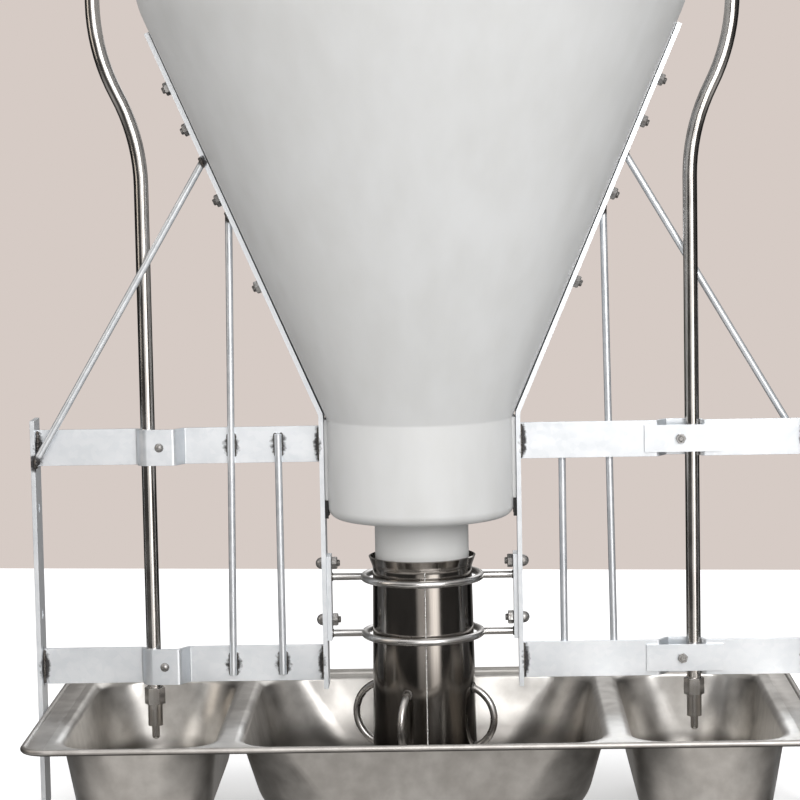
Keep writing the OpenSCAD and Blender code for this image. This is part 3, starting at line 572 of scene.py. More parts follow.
@dataclass
class Shell:
    """Vertices and faces of a mesh in millimetres, before it becomes an object."""

    points: list[Point] = field(default_factory=list)
    faces: list[list[int]] = field(default_factory=list)

    def ring_skin(self, rings: Sequence[Sequence[Point]], closed: bool, caps: bool = False) -> "Shell":
        """Joins rings of equal length with faces.

        Args:
            rings: Rings of points.
            closed: Whether the last ring joins the first.
            caps: Whether the first and last ring are filled.

        Returns:
            The shell itself.
        """
        base = len(self.points)
        count = len(rings[0])
        for ring in rings:
            self.points.extend(tuple(p) for p in ring)
        last = len(rings) if closed else len(rings) - 1
        for j in range(last):
            below = base + j * count
            above = base + (j + 1) % len(rings) * count
            for k in range(count):
                m = (k + 1) % count
                self.faces.append([below + k, below + m, above + m, above + k])
        if caps:
            end = base + (len(rings) - 1) * count
            self.faces.append([base + k for k in reversed(range(count))])
            self.faces.append([end + k for k in range(count)])
        return self

    def revolve(self, outline: Sequence[Vector], segments: int) -> "Shell":
        """Turns a closed outline of radius and height about the Z axis.

        Args:
            outline: Points of the outline.
            segments: Steps round the axis.

        Returns:
            The shell itself.
        """
        rings = []
        for k in range(segments):
            w = 2 * math.pi * k / segments
            rings.append([(p.x * math.cos(w), p.x * math.sin(w), p.y) for p in outline])
        return self.ring_skin(rings, closed=True)

    def block(self, low: Point, high: Point) -> "Shell":
        """Adds a block.

        Args:
            low: Its lowest corner.
            high: Its highest corner.

        Returns:
            The shell itself.
        """
        ring = [(low[0], low[1]), (high[0], low[1]), (high[0], high[1]), (low[0], high[1])]
        rings = [[(x, y, z) for x, y in ring] for z in (low[2], high[2])]
        return self.ring_skin(rings, closed=False, caps=True)

    def piece(self, name: str, finish: Finish, sharp: float = SHARP_ANGLE) -> Piece:
        """Makes the object.

        Args:
            name: The piece's name.
            finish: Its finish.
            sharp: Angle in degrees from which an edge stays sharp.

        Returns:
            The new object, at the origin.
        """
        mesh = bpy.data.meshes.new(name)
        mesh.from_pydata([Vector(p) * METRES for p in self.points], [], self.faces)
        work = bmesh.new()
        work.from_mesh(mesh)
        bmesh.ops.remove_doubles(work, verts=work.verts, dist=POINT_MERGE)
        bmesh.ops.recalc_face_normals(work, faces=work.faces)
        work.to_mesh(mesh)
        work.free()
        mesh.shade_smooth()
        mesh.set_sharp_from_angle(angle=math.radians(sharp))
        mesh.materials.append(finish.material())
        return new_object(name, mesh)


def settle(piece: Piece, body: Body, slot: Slot, *nodes: str) -> None:
    """Lets a piece ride on its body in place of the solids it stands for.

    Args:
        piece: The piece.
        body: Body that it moves with.
        slot: Record slot of its finish; not used.
        *nodes: Solids that it replaces.
    """
    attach(piece, body.value)
    if nodes:
        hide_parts(*nodes)
    LOG.info("piece %s rides on %s", piece.name, body.value)


def soften(piece: Piece, edge: float, segments: int = 2) -> None:
    """Rounds the edges of a piece with modifiers and evens its normals.

    Args:
        piece: The piece.
        edge: Width of the rounding in millimetres.
        segments: Steps across the rounding.
    """
    if edge > 0:
        bevel = piece.modifiers.new("Rounded edges", "BEVEL")
        bevel.width = edge * METRES
        bevel.segments = segments
        bevel.limit_method = "ANGLE"
        bevel.angle_limit = math.radians(BEVEL_ANGLE)
    piece.modifiers.new("Even normals", "WEIGHTED_NORMAL").weight = NORMAL_WEIGHT


def dress(node: str, finish: Finish, edge: float = 0.0) -> None:
    """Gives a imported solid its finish, joined facets and rounded edges.

    Args:
        node: The solid's name.
        finish: Its finish.
        edge: Width of the rounded edges in millimetres.
    """
    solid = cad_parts[node]
    solid.data.materials.clear()
    solid.data.materials.append(finish.material())
    solid.data.shade_smooth()
    solid.modifiers.new("Joined facets", "WELD").merge_threshold = FACET_MERGE
    if edge > 0:
        flat = solid.modifiers.new("Whole flats", "DECIMATE")
        flat.decimate_type = "DISSOLVE"
        flat.angle_limit = math.radians(FLAT_ANGLE)
    soften(solid, edge)
    LOG.info("solid %s is dressed in %s", node, finish.name)


def dress_pairs(edges: dict[str, float], finish: Finish) -> None:
    """Dresses the left and the right solid of each part.

    Args:
        edges: Names of the parts without their side, and the width of their rounded edges.
        finish: Their finish.
    """
    for part, edge in edges.items():
        for side in SIDES:
            dress(side + part, finish, edge)


class NodeTree(NodeGraph):
    """A Geometry Nodes tree that is made into a plain mesh."""

    def __init__(self, name: str) -> None:
        """Makes an empty tree with a geometry input and output and a material.

        Args:
            name: The tree's name.
        """
        self.tree = bpy.data.node_groups.new(name, "GeometryNodeTree")
        for way in ("INPUT", "OUTPUT"):
            self.tree.interface.new_socket(name="Geometry", in_out=way, socket_type="NodeSocketGeometry")
        self.names: dict[str, str] = {}
        self.entry = self.add("NodeGroupInput")
        self.base = self.entry.outputs["Geometry"]
        self.material = self.size("Material", "NodeSocketMaterial")

    def size(self, name: str, kind: str = "NodeSocketFloat") -> Socket:
        """Adds a named input.

        Args:
            name: The input's name.
            kind: The type of its socket.

        Returns:
            Its socket inside the tree.
        """
        socket = self.tree.interface.new_socket(name=name, in_out="INPUT", socket_type=kind)
        self.names[name] = socket.identifier
        return self.entry.outputs[name]

    def close(self, **inputs: Socket) -> None:
        """Ends the tree: a shape is set on points, becomes mesh, smooth and with the material.

        Args:
            **inputs: The points, the shape, and the shapes' turn or scale.
        """
        placed = self.first("GeometryNodeInstanceOnPoints", inputs)
        real = self.first("GeometryNodeRealizeInstances", {0: placed})
        smooth = self.first("GeometryNodeSetShadeSmooth", {0: real})
        painted = self.first("GeometryNodeSetMaterial", {0: smooth, "Material": self.material})
        self.add("NodeGroupOutput", {0: painted})

    def bake(self, name: str, base: bpy.types.Mesh, finish: Finish, sizes: dict[str, Any]) -> Piece:
        """Runs the tree on a mesh and keeps the result as a plain mesh.

        Args:
            name: The piece's name.
            base: The mesh that goes in.
            finish: The piece's finish.
            sizes: Values for the named inputs.

        Returns:
            The new object.
        """
        carrier = new_object(name + "_carrier", base)
        modifier = carrier.modifiers.new("Repeats", "NODES")
        modifier.node_group = self.tree
        for key, value in {**sizes, "Material": finish.material()}.items():
            modifier[self.names[key]] = value
        graph = bpy.context.evaluated_depsgraph_get()
        mesh = bpy.data.meshes.new_from_object(carrier.evaluated_get(graph))
        carrier.modifiers.clear()
        bpy.data.objects.remove(carrier)
        mesh.name = name
        return new_object(name, mesh)


@dataclass
class WeldBeads:
    """Rippled weld beads laid along seams."""

    finish: Finish
    seed: int = 11
    spacing: float = 0.75
    smallest: Point = (0.78, 0.78, 0.7)
    largest: Point = (1.18, 1.18, 1.1)
    drop_detail: int = 2

    def __post_init__(self) -> None:
        """Builds the tree: drops of uneven size, close together along each seam."""
        tree = NodeTree("weld_beads")
        radius = tree.size("Bead radius")
        step = tree.size("Drop spacing")
        seed = tree.size("Seed", "NodeSocketInt")
        curve = tree.first("GeometryNodeMeshToCurve", {"Mesh": tree.base})
        spaced = tree.first("GeometryNodeResampleCurve", {"Curve": curve, "Length": step}, mode="LENGTH")
        drop = tree.first("GeometryNodeMeshIcoSphere", {"Radius": radius, "Subdivisions": self.drop_detail})
        limits = {0: self.smallest, 1: self.largest, "Seed": seed}
        grow = tree.first("FunctionNodeRandomValue", limits, data_type="FLOAT_VECTOR")
        tree.close(Points=spaced, Instance=drop, Scale=grow)
        self.tree = tree

    def lay(
        self,
        name: str,
        seams: Iterable[Sequence[Point]],
        radius: float,
        body: Body,
        slot: Slot,
        finish: Finish | None = None,
    ) -> None:
        """Lays beads along seams as one piece.

        Args:
            name: The piece's name.
            seams: Lines of points in millimetres.
            radius: Radius of the beads in millimetres.
            body: Body that they move with.
            slot: Record slot of their finish.
            finish: Finish of ground beads; raw beads have the weld's own.
        """
        base = bpy.data.meshes.new(name + "_seams")
        points: list[Vector] = []
        edges: list[tuple[int, int]] = []
        for seam in seams:
            first = len(points)
            points.extend(Vector(p) * METRES for p in seam)
            edges.extend((k, k + 1) for k in range(first, len(points) - 1))
        base.from_pydata(points, edges, [])
        made = self.tree.bake(name, base, finish or self.finish, {
            "Bead radius": radius * METRES, "Drop spacing": radius * self.spacing * METRES, "Seed": self.seed,
        })
        settle(made, body, slot)


@dataclass
class ScrewSet:
    """Round-headed screws with their nuts, all of one size."""

    name: str
    nodes: tuple[str, ...]
    shank_d: float
    head_d: float
    head_h: float
    nut_af: float
    nut_h: float
    grip: float
    over: float = 3.0
    gap: float = 0.1
    pitch: float = 1.25
    thread_start: float = 0.5
    thread_depth: float = 0.6
    tip_depth: float = 0.9
    pole_r: float = 0.05
    seat_edge: float = 0.3
    head_edge: float = 0.4
    crown: float = 0.98
    chamfer_h: float = 0.9
    chamfer: float = 0.9
    dome_steps: int = 8
    segments: int = 24
    seed: int = 5

    def pattern(self) -> Shell:
        """Builds one screw and its nut along Z, with the head's seat at zero.

        Returns:
            The shell of screw and nut.
        """
        shank, r, h = self.shank_d / 2, self.head_d / 2, self.head_h
        dome = (r * r + h * h) / (2 * h)
        spread = math.asin(r / dome)
        end = -self.grip - self.nut_h - self.over
        outline = [(self.pole_r, end), (shank - self.tip_depth, end)]
        for k in range(int((self.nut_h + self.over) / self.pitch)):
            z = end + self.thread_start + k * self.pitch
            outline += [(shank - self.thread_depth, z), (shank, z + self.pitch / 2)]
        outline += [(shank, self.gap), (r - self.seat_edge, self.gap), (r, self.gap + self.head_edge)]
        for k in range(self.dome_steps, -1, -1):
            w = spread * k / self.dome_steps
            across = max(dome * math.sin(w) * self.crown, self.pole_r)
            outline.append((across, h + self.gap + dome * (math.cos(w) - 1)))
        shell = Shell().revolve([Vector(p) for p in outline], self.segments)
        low, high = -self.grip - self.nut_h, -self.grip - self.gap
        corner = self.nut_af / 2 / math.cos(math.pi / 6)
        face = corner * self.chamfer
        levels = [(low, face), (low + self.chamfer_h, corner), (high - self.chamfer_h, corner), (high, face)]
        turn = [math.pi / 3 * k for k in range(6)]
        rings = [[(c * math.cos(w), c * math.sin(w), z) for w in turn] for z, c in levels]
        return shell.ring_skin(rings, closed=False, caps=True)

    def drive(self, spots: Sequence[Spot], finish: Finish) -> None:
        """Sets a screw at each spot, as one piece on the frame.

        Args:
            spots: Seat of each head, and the direction in which the head points.
            finish: The screws' finish.
        """
        model = self.pattern().piece(self.name + "_pattern", finish)
        tree = NodeTree(self.name + "_screws")
        seed = tree.size("Seed", "NodeSocketInt")
        screw = tree.size("Screw", "NodeSocketObject")
        facing = tree.first("GeometryNodeInputNamedAttribute", {"Name": "facing"}, data_type="FLOAT_VECTOR")
        aimed = tree.first("FunctionNodeAlignRotationToVector", {"Vector": facing}, axis="Z")
        limits = {2: 0.0, 3: math.pi / 3, "Seed": seed}
        angle = tree.add("FunctionNodeRandomValue", limits, data_type="FLOAT").outputs[1]
        roll = tree.first("FunctionNodeAxisAngleToRotation", {"Axis": (0, 0, 1), "Angle": angle})
        turned = tree.first("FunctionNodeRotateRotation", {0: aimed, 1: roll}, rotation_space="LOCAL")
        shape = tree.add("GeometryNodeObjectInfo", {"Object": screw}).outputs["Geometry"]
        points = tree.first("GeometryNodeMeshToPoints", {0: tree.base})
        tree.close(Points=points, Instance=shape, Rotation=turned)
        base = bpy.data.meshes.new(self.name + "_spots")
        base.from_pydata([Vector(p) * METRES for p, _ in spots], [], [])
        towards = base.attributes.new("facing", "FLOAT_VECTOR", "POINT")
        for k, (_, direction) in enumerate(spots):
            towards.data[k].vector = direction
        made = tree.bake(self.name, base, finish, {"Seed": self.seed, "Screw": model})
        bpy.data.objects.remove(model)
        made.data.set_sharp_from_angle(angle=math.radians(SHARP_ANGLE))
        settle(made, Body.FRAME, finish.slot, *self.nodes)


def both_sides(points: Iterable[Point]) -> list[list[Point]]:
    """Returns a line of points on the +X side and its copy after half a turn about Z."""
    line = list(points)
    return [line, [(-x, -y, z) for x, y, z in line]]


def circle(centre: Sequence[float], across: Sequence[float], up: Sequence[float]) -> list[Point]:
    """Makes a closed line of points round a centre.

    Args:
        centre: The centre.
        across: The first half axis.
        up: The second half axis.

    Returns:
        The points, of which the last is the first again.
    """
    line = []
    for k in range(CIRCLE_STEPS + 1):
        w = 2 * math.pi * k / CIRCLE_STEPS
        line.append(tuple(c + a * math.cos(w) + b * math.sin(w) for c, a, b in zip(centre, across, up)))
    return line


@dataclass
class Trough:
    """Steel trough: a rim with a rolled edge and three drawn bowls.

    The forms give the lean of each bowl's walls in degrees and the radius between walls and floor.
    """

    sheet: float = 2.0
    flange: float = 6.0
    flange_corner_r: float = 0.5
    draw_r: float = 10.0
    mouth_corner_r: float = 38.0
    floor_corner_r: float = 95.0
    corner_share: float = 0.98
    forms: dict[str, Pair] = field(default_factory=lambda: {
        "left_bowl": (7.0, 50.0), "centre_bowl": (12.0, 70.0), "right_bowl": (7.0, 50.0),
    })
    corner_steps: int = 18
    draw_steps: int = 8
    floor_steps: int = 16

    def ring(self, middle: Vector, half: Vector, r: float, z: float) -> list[Point]:
        """Makes a ring round a rectangle with round corners.

        Args:
            middle: Middle of the bowl.
            half: Half sizes of the rectangle.
            r: Radius of its corners.
            z: Height of the ring.

        Returns:
            The ring's points.
        """
        points = []
        for quarter in range(4):
            sx = 1 if quarter in (0, 3) else -1
            sy = 1 if quarter < 2 else -1
            for k in range(self.corner_steps + 1):
                w = math.pi / 2 * (quarter + k / self.corner_steps)
                x = middle.x + sx * (half.x - r) + r * math.cos(w)
                y = middle.y + sy * (half.y - r) + r * math.sin(w)
                points.append((x, y, z))
        return points

    def section(self, depth: float, lean: float, floor_r: float, t: float) -> list[Pair]:
        """Makes a bowl's section.

        Args:
            depth: Depth of the bowl inside.
            lean: Lean of its walls, in radians.
            floor_r: Radius between its walls and its floor.
            t: Distance outside its inner face.

        Returns:
            Pairs of inset from the mouth and drop below the rim.
        """
        top = self.draw_r * (1 - math.sin(lean))
        low = depth - floor_r * (1 - math.sin(lean))
        inset = (self.draw_r + floor_r) * math.cos(lean) + (low - top) * math.tan(lean)
        draw = self.draw_r - t
        turn = floor_r + t
        quarter = math.pi / 2 - lean
        drawn = []
        for k in range(self.draw_steps + 1):
            w = quarter * k / self.draw_steps
            drawn.append((draw * math.sin(w), self.draw_r - draw * math.cos(w)))
        floor = []
        for k in range(self.floor_steps, -1, -1):
            w = quarter * k / self.floor_steps
            floor.append((inset - turn * math.sin(w), depth - floor_r + turn * math.cos(w)))
        return drawn + floor

    def bowl_face(self, node: str, t: float) -> list[list[Point]]:
        """Makes the rings of one face of a bowl, from the flange's edge to the floor.

        Args:
            node: The bowl's solid.
            t: Distance outside the bowl's inner face.

        Returns:
            The rings of points.
        """
        low, high = box_mm(node)
        middle = (low + high) / 2
        half = (high - low) / 2 - Vector((self.flange, self.flange, 0))
        depth = high.z - low.z - self.sheet
        lean, floor_r = self.forms[node]
        lean = math.radians(lean)
        edge = Vector((half.x + self.flange, half.y + self.flange))
        rings = [self.ring(middle, edge, self.flange_corner_r, high.z - t)]
        widen = self.floor_corner_r - self.mouth_corner_r
        pairs = zip(self.section(depth, lean, floor_r, 0), self.section(depth, lean, floor_r, t))
        for (inset, drop), (face_inset, face_drop) in pairs:
            wanted = self.mouth_corner_r + widen * math.sqrt(drop / depth)
            inner = Vector((half.x - inset, half.y - inset))
            out = inset - face_inset
            r = min(wanted, self.corner_share * min(inner)) + out
            rings.append(self.ring(middle, inner + Vector((out, out)), r, high.z - face_drop))
        return rings

    def build(self, wet: Finish, fed: Finish, rim: Finish) -> None:
        """Builds the bowls and dresses the rim.

        Args:
            wet: The water bowls' finish.
            fed: The feed bowl's finish.
            rim: The rim's finish.
        """
        for node in self.forms:
            inner = self.bowl_face(node, 0.0)
            outer = self.bowl_face(node, self.sheet)
            shell = Shell().ring_skin(list(reversed(inner)) + outer, closed=False, caps=True)
            finish = fed if node == "centre_bowl" else wet
            settle(shell.piece(node + "_sheet", finish), Body.FRAME, finish.slot, node)
        dress("trough_rim", rim)


@dataclass
class Hopper:
    """Moulded hopper with spout, neck, cone, body and mouth bead, and its lid."""

    wall: float = 5.0
    spout_r: float = 52.0
    spout_l: float = 82.0
    neck_r: float = 103.0
    neck_h: float = 110.0
    neck_edge_r: float = 10.0
    half_angle: float = 23.3
    body_r: float = 302.0
    shoulder_r: float = 110.0
    bead_w: float = 6.0
    bead_h: float = 14.0
    bead_edge_r: float = 6.0
    bead_foot_r: float = 1.5
    boss_h: float = 90.0
    boss_w: float = 30.0
    boss_out: float = 2.7
    boss_edge: float = 1.2
    boss_edge_steps: int = 3
    crease: float = 50.0
    segments: int = 192

    def __post_init__(self) -> None:
        """Takes the hopper's heights from its solid and works out its cone."""
        low, high = box_mm("hopper")
        self.spout_low = low.z
        self.mouth_z = high.z
        self.neck_low = low.z + self.spout_l
        self.neck_top = self.neck_low + self.neck_h
        self.tilt = math.radians(self.half_angle)
        self.slope = math.tan(self.tilt)
        self.cone_top = self.neck_top + (self.body_r - self.neck_r) / self.slope

    def cone_x(self, z: float, out: float) -> float:
        """Returns the cone's radius at a height, moved outwards by a distance."""
        return self.neck_r + (z - self.neck_top) * self.slope + out / math.cos(self.tilt)

    def outline(self) -> list[Vector]:
        """Makes the closed section of the hopper.

        Returns:
            Points of radius and height.
        """
        half = self.wall / 2
        lift = half * math.tan(self.tilt / 2)
        path = rounded_path(
            [
                (self.spout_r - half, self.spout_low),
                (self.spout_r - half, self.neck_low + half),
                (self.neck_r - half, self.neck_low + half),
                (self.neck_r - half, self.neck_top + lift),
                (self.body_r - half, self.cone_top + lift),
                (self.body_r - half, self.mouth_z),
            ],
            [self.wall, self.neck_edge_r, 2 * self.wall, self.shoulder_r],
            steps=12,
        )
        inner, outer = strip_sides(path, self.wall)
        bead_r = self.body_r + self.bead_w
        bead_low = self.mouth_z - self.bead_h
        corner = [(bead_r, bead_low), (bead_r, self.mouth_z), (self.body_r - self.wall, self.mouth_z)]
        radii = [self.bead_foot_r, self.bead_edge_r]
        bead = rounded_path([(self.body_r, bead_low), *corner], radii, steps=8)
        return outer[:-1] + bead[:-1] + list(reversed(inner))

    def build(self, finish: Finish) -> None:
        """Builds the hopper and its side pads and dresses the lid.

        Args:
            finish: The plastic's finish.
        """
        shell = Shell().revolve(self.outline(), self.segments)
        settle(shell.piece("hopper_shell", finish, self.crease), Body.FRAME, finish.slot, "hopper")
        pads = Shell()
        low, high = self.neck_top - self.boss_h, self.neck_top
        for side in (-1, 1):
            xs = sorted((side * (self.neck_r - self.wall / 2), side * (self.neck_r + self.boss_out)))
            pads.block((xs[0], -self.boss_w / 2, low), (xs[1], self.boss_w / 2, high))
        made = pads.piece("neck_side_pads", finish)
        soften(made, self.boss_edge, self.boss_edge_steps)
        settle(made, Body.FRAME, finish.slot)
        dress("hopper_lid", finish)


@dataclass
class FeedTube:
    """Rolled steel tube with a flared lip, stirring loops and its seat."""

    wall: float = 2.0
    top_r: float = 55.0
    low_r: float = 59.0
    lip_r: float = 59.5
    lip_h: float = 12.0
    lip_bend_r: float = 14.0
    seam_at: float = -86.4
    seam_end: float = 1.0
    seam_sunk: float = 0.55
    seam_bead_r: float = 1.2
    loop_turn: float = 72.0
    loop_r: float = 35.6
    loop_wire_r: float = 4.0
    loop_centre_r: float = 45.4
    loop_bead_r: float = 1.5
    loop_bead_out: float = 0.6
    loop_bead_tall: float = 1.1
    segments: int = 128

    def __post_init__(self) -> None:
        """Takes the tube's heights from its solid and the loops' from theirs."""
        low, high = box_mm("feed_tube")
        self.low_z, self.top_z = low.z, high.z
        self.lip_low = high.z - self.lip_h
        loop_low, loop_high = box_mm("front_stir_loop")
        self.loop_z = (loop_low.z + loop_high.z) / 2

    def radius(self, z: float) -> float:
        """Returns the tube's outer radius at a height below the lip."""
        return self.low_r + (self.top_r - self.low_r) * (z - self.low_z) / (self.lip_low - self.low_z)

    def seams(self) -> list[list[Point]]:
        """Makes the weld lines where the loops meet the tube.

        Returns:
            Rings of points round each end of each loop's wire.
        """
        lines = []
        reach = math.acos((self.radius(self.loop_z) - self.loop_centre_r) / self.loop_r)
        r = self.loop_wire_r + self.loop_bead_out
        for quarter in range(4):
            w = math.radians(self.loop_turn + 90 * quarter)
            out = Vector((math.cos(w), math.sin(w), 0))
            side = Vector((-math.sin(w), math.cos(w), 0))
            for end in (-1, 1):
                z = self.loop_z + end * self.loop_r * math.sin(reach)
                centre = out * (self.radius(z) + self.loop_bead_out) + Vector((0, 0, z))
                lines.append(circle(centre, side * r, (0, 0, r * self.loop_bead_tall)))
        return lines

    def build(self, tube: Finish, wire: Finish, ground: Finish, dull: Finish, welds: WeldBeads) -> None:
        """Builds the tube with its seam and welds and dresses loops and seat.

        Args:
            tube: The tube's finish.
            wire: The loops' finish.
            ground: The seam's finish.
            dull: The seat's finish.
            welds: The weld beads' tree.
        """
        low_r, top_r, lip_r = (r - self.wall / 2 for r in (self.low_r, self.top_r, self.lip_r))
        corners = [(low_r, self.low_z), (top_r, self.lip_low), (lip_r, self.top_z)]
        inner, outer = strip_sides(rounded_path(corners, [self.lip_bend_r]), self.wall)
        shell = Shell().revolve(outer + list(reversed(inner)), self.segments)
        settle(shell.piece("feed_tube_sheet", tube), Body.TUBE, tube.slot, "feed_tube")
        w = math.radians(self.seam_at)
        seam = []
        for z in (self.low_z + self.seam_end, self.lip_low - self.seam_end):
            r = self.radius(z) - self.seam_sunk
            seam.append((r * math.cos(w), r * math.sin(w), z))
        welds.lay("tube_seam", [seam], self.seam_bead_r, Body.TUBE, tube.slot, ground)
        welds.lay("loop_welds", self.seams(), self.loop_bead_r, Body.TUBE, wire.slot)
        for place in ("front", "right", "rear", "left"):
            dress(place + "_stir_loop", wire)
        dress("tube_spider", wire, edge=0.4)
        dress("thrust_washer", wire, edge=0.3)
        dress("height_nut", dull, edge=0.4)
        dress("pivot_stud", dull, edge=0.4)


@dataclass
class BarFrame:
    """Open frame of flat bars and rods with the tube's guides."""

    hopper: Hopper
    upright_x: float = 111.0
    rail_face: float = 2.0
    rail_weld_l: float = 17.0
    rod_weld_l: float = 11.0
    rod_r: float = 4.0
    long_rod_x: float = 212.5
    long_rod_lean: float = 0.8
    short_rod_x: float = 157.0
    rod_y: float = 6.1
    strap_out: float = 5.3
    brace_y: float = 19.0
    brace_drop: float = 141.0
    strap_top_z: float = 871.07
    post_x: float = 425.0
    brace_low_z: float = 402.0
    guide_x: float = 100.7
    ring_wire_r: float = 4.0
    stud_foot_r: float = 25.0
    bowl_floor_z: float = 2.0
    strap_bolt_in: float = 59.0
    strap_bolt_steps: tuple[float, ...] = (45.0, 78.0, 96.0)
    guide_bolt_up: float = 15.5
    clamp_bolt_x: float = 287.8
    tab_face: float = 18.4
    bead_r: float = 2.2
    fine_bead_r: float = 1.1
    rod_bead_side: float = 3.3
    rod_bead_up: float = 0.7
    rail_bead_in: float = 0.6
    rail_bead_up: float = 0.4
    strap_bead_out: float = 0.8
    strap_bead_share: float = 0.85
    strap_bead_ends: Pair = (-4.5, 4.0)
    brace_bead_out: float = 0.5
    stud_bead_out: float = 0.8
    stud_bead_up: float = 0.4
    rod_burn_up: float = 1.5
    rail_burn_in: float = 1.0
    rod_burn: Point = (10.5, 4.5, 15.0)
    rail_burn: Point = (6.5, 24.0, 22.0)
    strap_burn: Point = (7.0, 7.0, 9.0)
    brace_burn: Point = (6.0, 6.0, 8.0)
    post_burn: Point = (10.0, 10.0, 12.0)

    def __post_init__(self) -> None:
        """Takes the rails' and rings' heights from their solids and works out the long rod's slope."""
        self.rail_zs = [self.mid_z("right_upper_rail"), self.mid_z("right_lower_rail")]
        self.ring_zs = [self.mid_z("upper_guide_ring"), self.mid_z("lower_guide_ring")]
        self.rod_slope = math.tan(math.radians(self.long_rod_lean))

    @staticmethod
    def mid_z(node: str) -> float:
        """Returns the height of a solid's middle."""
        low, high = box_mm(node)
        return (low.z + high.z) / 2

    def long_rod_at(self, z: float) -> float:
        """Returns the long rod's distance from the axis at a height."""
        return self.long_rod_x - (z - self.rail_zs[1]) * self.rod_slope

    def strap_point(self, z: float, y: float) -> Vector:
        """Returns the point of the strap's outer face at a height."""
        return Vector((self.hopper.cone_x(z, self.strap_out), y, z))

    def long_rod_top(self) -> float:
        """Returns the height at which the long rod's axis meets the strap."""
        gap = self.hopper.cone_x(self.strap_top_z, self.strap_out) - self.long_rod_at(self.strap_top_z)
        return self.strap_top_z - gap / (self.hopper.slope + self.rod_slope)

    def strap_joints(self) -> list[Vector]:
        """Returns the points where the long rod and the brace meet the strap."""
        ends = ((self.long_rod_top(), self.rod_y), (self.strap_top_z - self.brace_drop, self.brace_y))
        return [self.strap_point(z, y) for z, y in ends]

    def joints(self) -> list[Spot]:
        """Lists the welded joints of the +X side.

        Returns:
            The middle of each joint and the reach of its burn on the three axes.
        """
        spots: list[Spot] = []
        for z in self.rail_zs:
            for x in (self.long_rod_at(z), self.short_rod_x):
                spots.append(((x, self.rail_face + self.rod_burn_up, z), self.rod_burn))
            for x in (self.upright_x + self.rail_burn_in, self.post_x - self.rail_burn_in):
                spots.append(((x, 0.0, z), self.rail_burn))
        rod, brace = self.strap_joints()
        spots += [(tuple(rod), self.strap_burn), (tuple(brace), self.brace_burn)]
        spots.append(((self.post_x, self.brace_y, self.brace_low_z), self.post_burn))
        return spots

    def seams(self) -> list[list[Point]]:
        """Makes the weld lines of both sides.

        Returns:
            Lines of points.
        """
        lines: list[list[Point]] = []
        for z in self.rail_zs:
            y = self.rail_face + self.rod_bead_up
            ends = (z - self.rod_weld_l, z + self.rod_weld_l)
            for x_at in (self.long_rod_at, lambda _: self.short_rod_x):
                for out in (-self.rod_bead_side, self.rod_bead_side):
                    lines += both_sides((x_at(e) + out, y, e) for e in ends)
            y = self.rail_face + self.rail_bead_up
            ends = (z - self.rail_weld_l, z + self.rail_weld_l)
            for x in (self.upright_x + self.rail_bead_in, self.post_x - self.rail_bead_in):
                for face in (-y, y):
                    lines += both_sides((x, face, e) for e in ends)
        along = Vector((math.sin(self.hopper.tilt), 0, math.cos(self.hopper.tilt)))
        for centre in self.strap_joints():
            for side in (-self.rod_r, self.rod_r):
                start = centre + Vector((self.strap_bead_out, side * self.strap_bead_share, 0))
                lines += both_sides(tuple(start + along * s) for s in self.strap_bead_ends)
        r = self.rod_r + self.brace_bead_out
        end = (self.post_x - self.rail_bead_in, self.brace_y, self.brace_low_z)
        lines += both_sides(circle(end, (0, r, 0), (0, 0, r)))
        r = self.stud_foot_r + self.stud_bead_out
        lines.append(circle((0, 0, self.bowl_floor_z + self.stud_bead_up), (r, 0, 0), (0, r, 0)))
        return lines

    def guide_seams(self) -> list[list[Point]]:
        """Makes the fine weld lines where the guide rings' arms meet their plates.

        Returns:
            Rings of points round the arms' wire.
        """
        r = self.ring_wire_r
        upper, lower = (circle((self.guide_x, 0, z), (0, r, 0), (0, 0, r)) for z in self.ring_zs)
        return both_sides(upper) + both_sides(lower)

    def strap_screws(self, grip: float) -> list[Spot]:
        """Lists the seats of the strap screws.

        Args:
            grip: Distance from a head's seat to its nut's.

        Returns:
            Seats of the heads inside the hopper, and the heads' directions.
        """
        out = Vector((math.cos(self.hopper.tilt), 0, -math.sin(self.hopper.tilt)))
        z = self.strap_top_z - self.strap_bolt_in
        spots = []
        for step in (0.0, *self.strap_bolt_steps):
            z -= step
            seat = self.strap_point(z, 0.0) - out * grip
            spots += [(tuple(seat), tuple(-out)), ((-seat.x, 0.0, seat.z), (out.x, 0.0, -out.z))]
        return spots

    def guide_screws(self) -> list[Spot]:
        """Lists the seats of the guide screws' heads, outside the uprights."""
        seats = [(side, z + self.guide_bolt_up) for z in self.ring_zs for side in (-1.0, 1.0)]
        return [((side * self.upright_x, 0.0, z), (side, 0.0, 0.0)) for side, z in seats]

    def clamp_screws(self) -> list[Spot]:
        """Lists the seats of the pipe clamps' screws, on the rails' tabs."""
        seats = [(side, z) for z in self.rail_zs for side in (-1.0, 1.0)]
        return [((side * self.clamp_bolt_x, side * self.tab_face, z), (0.0, side, 0.0)) for side, z in seats]

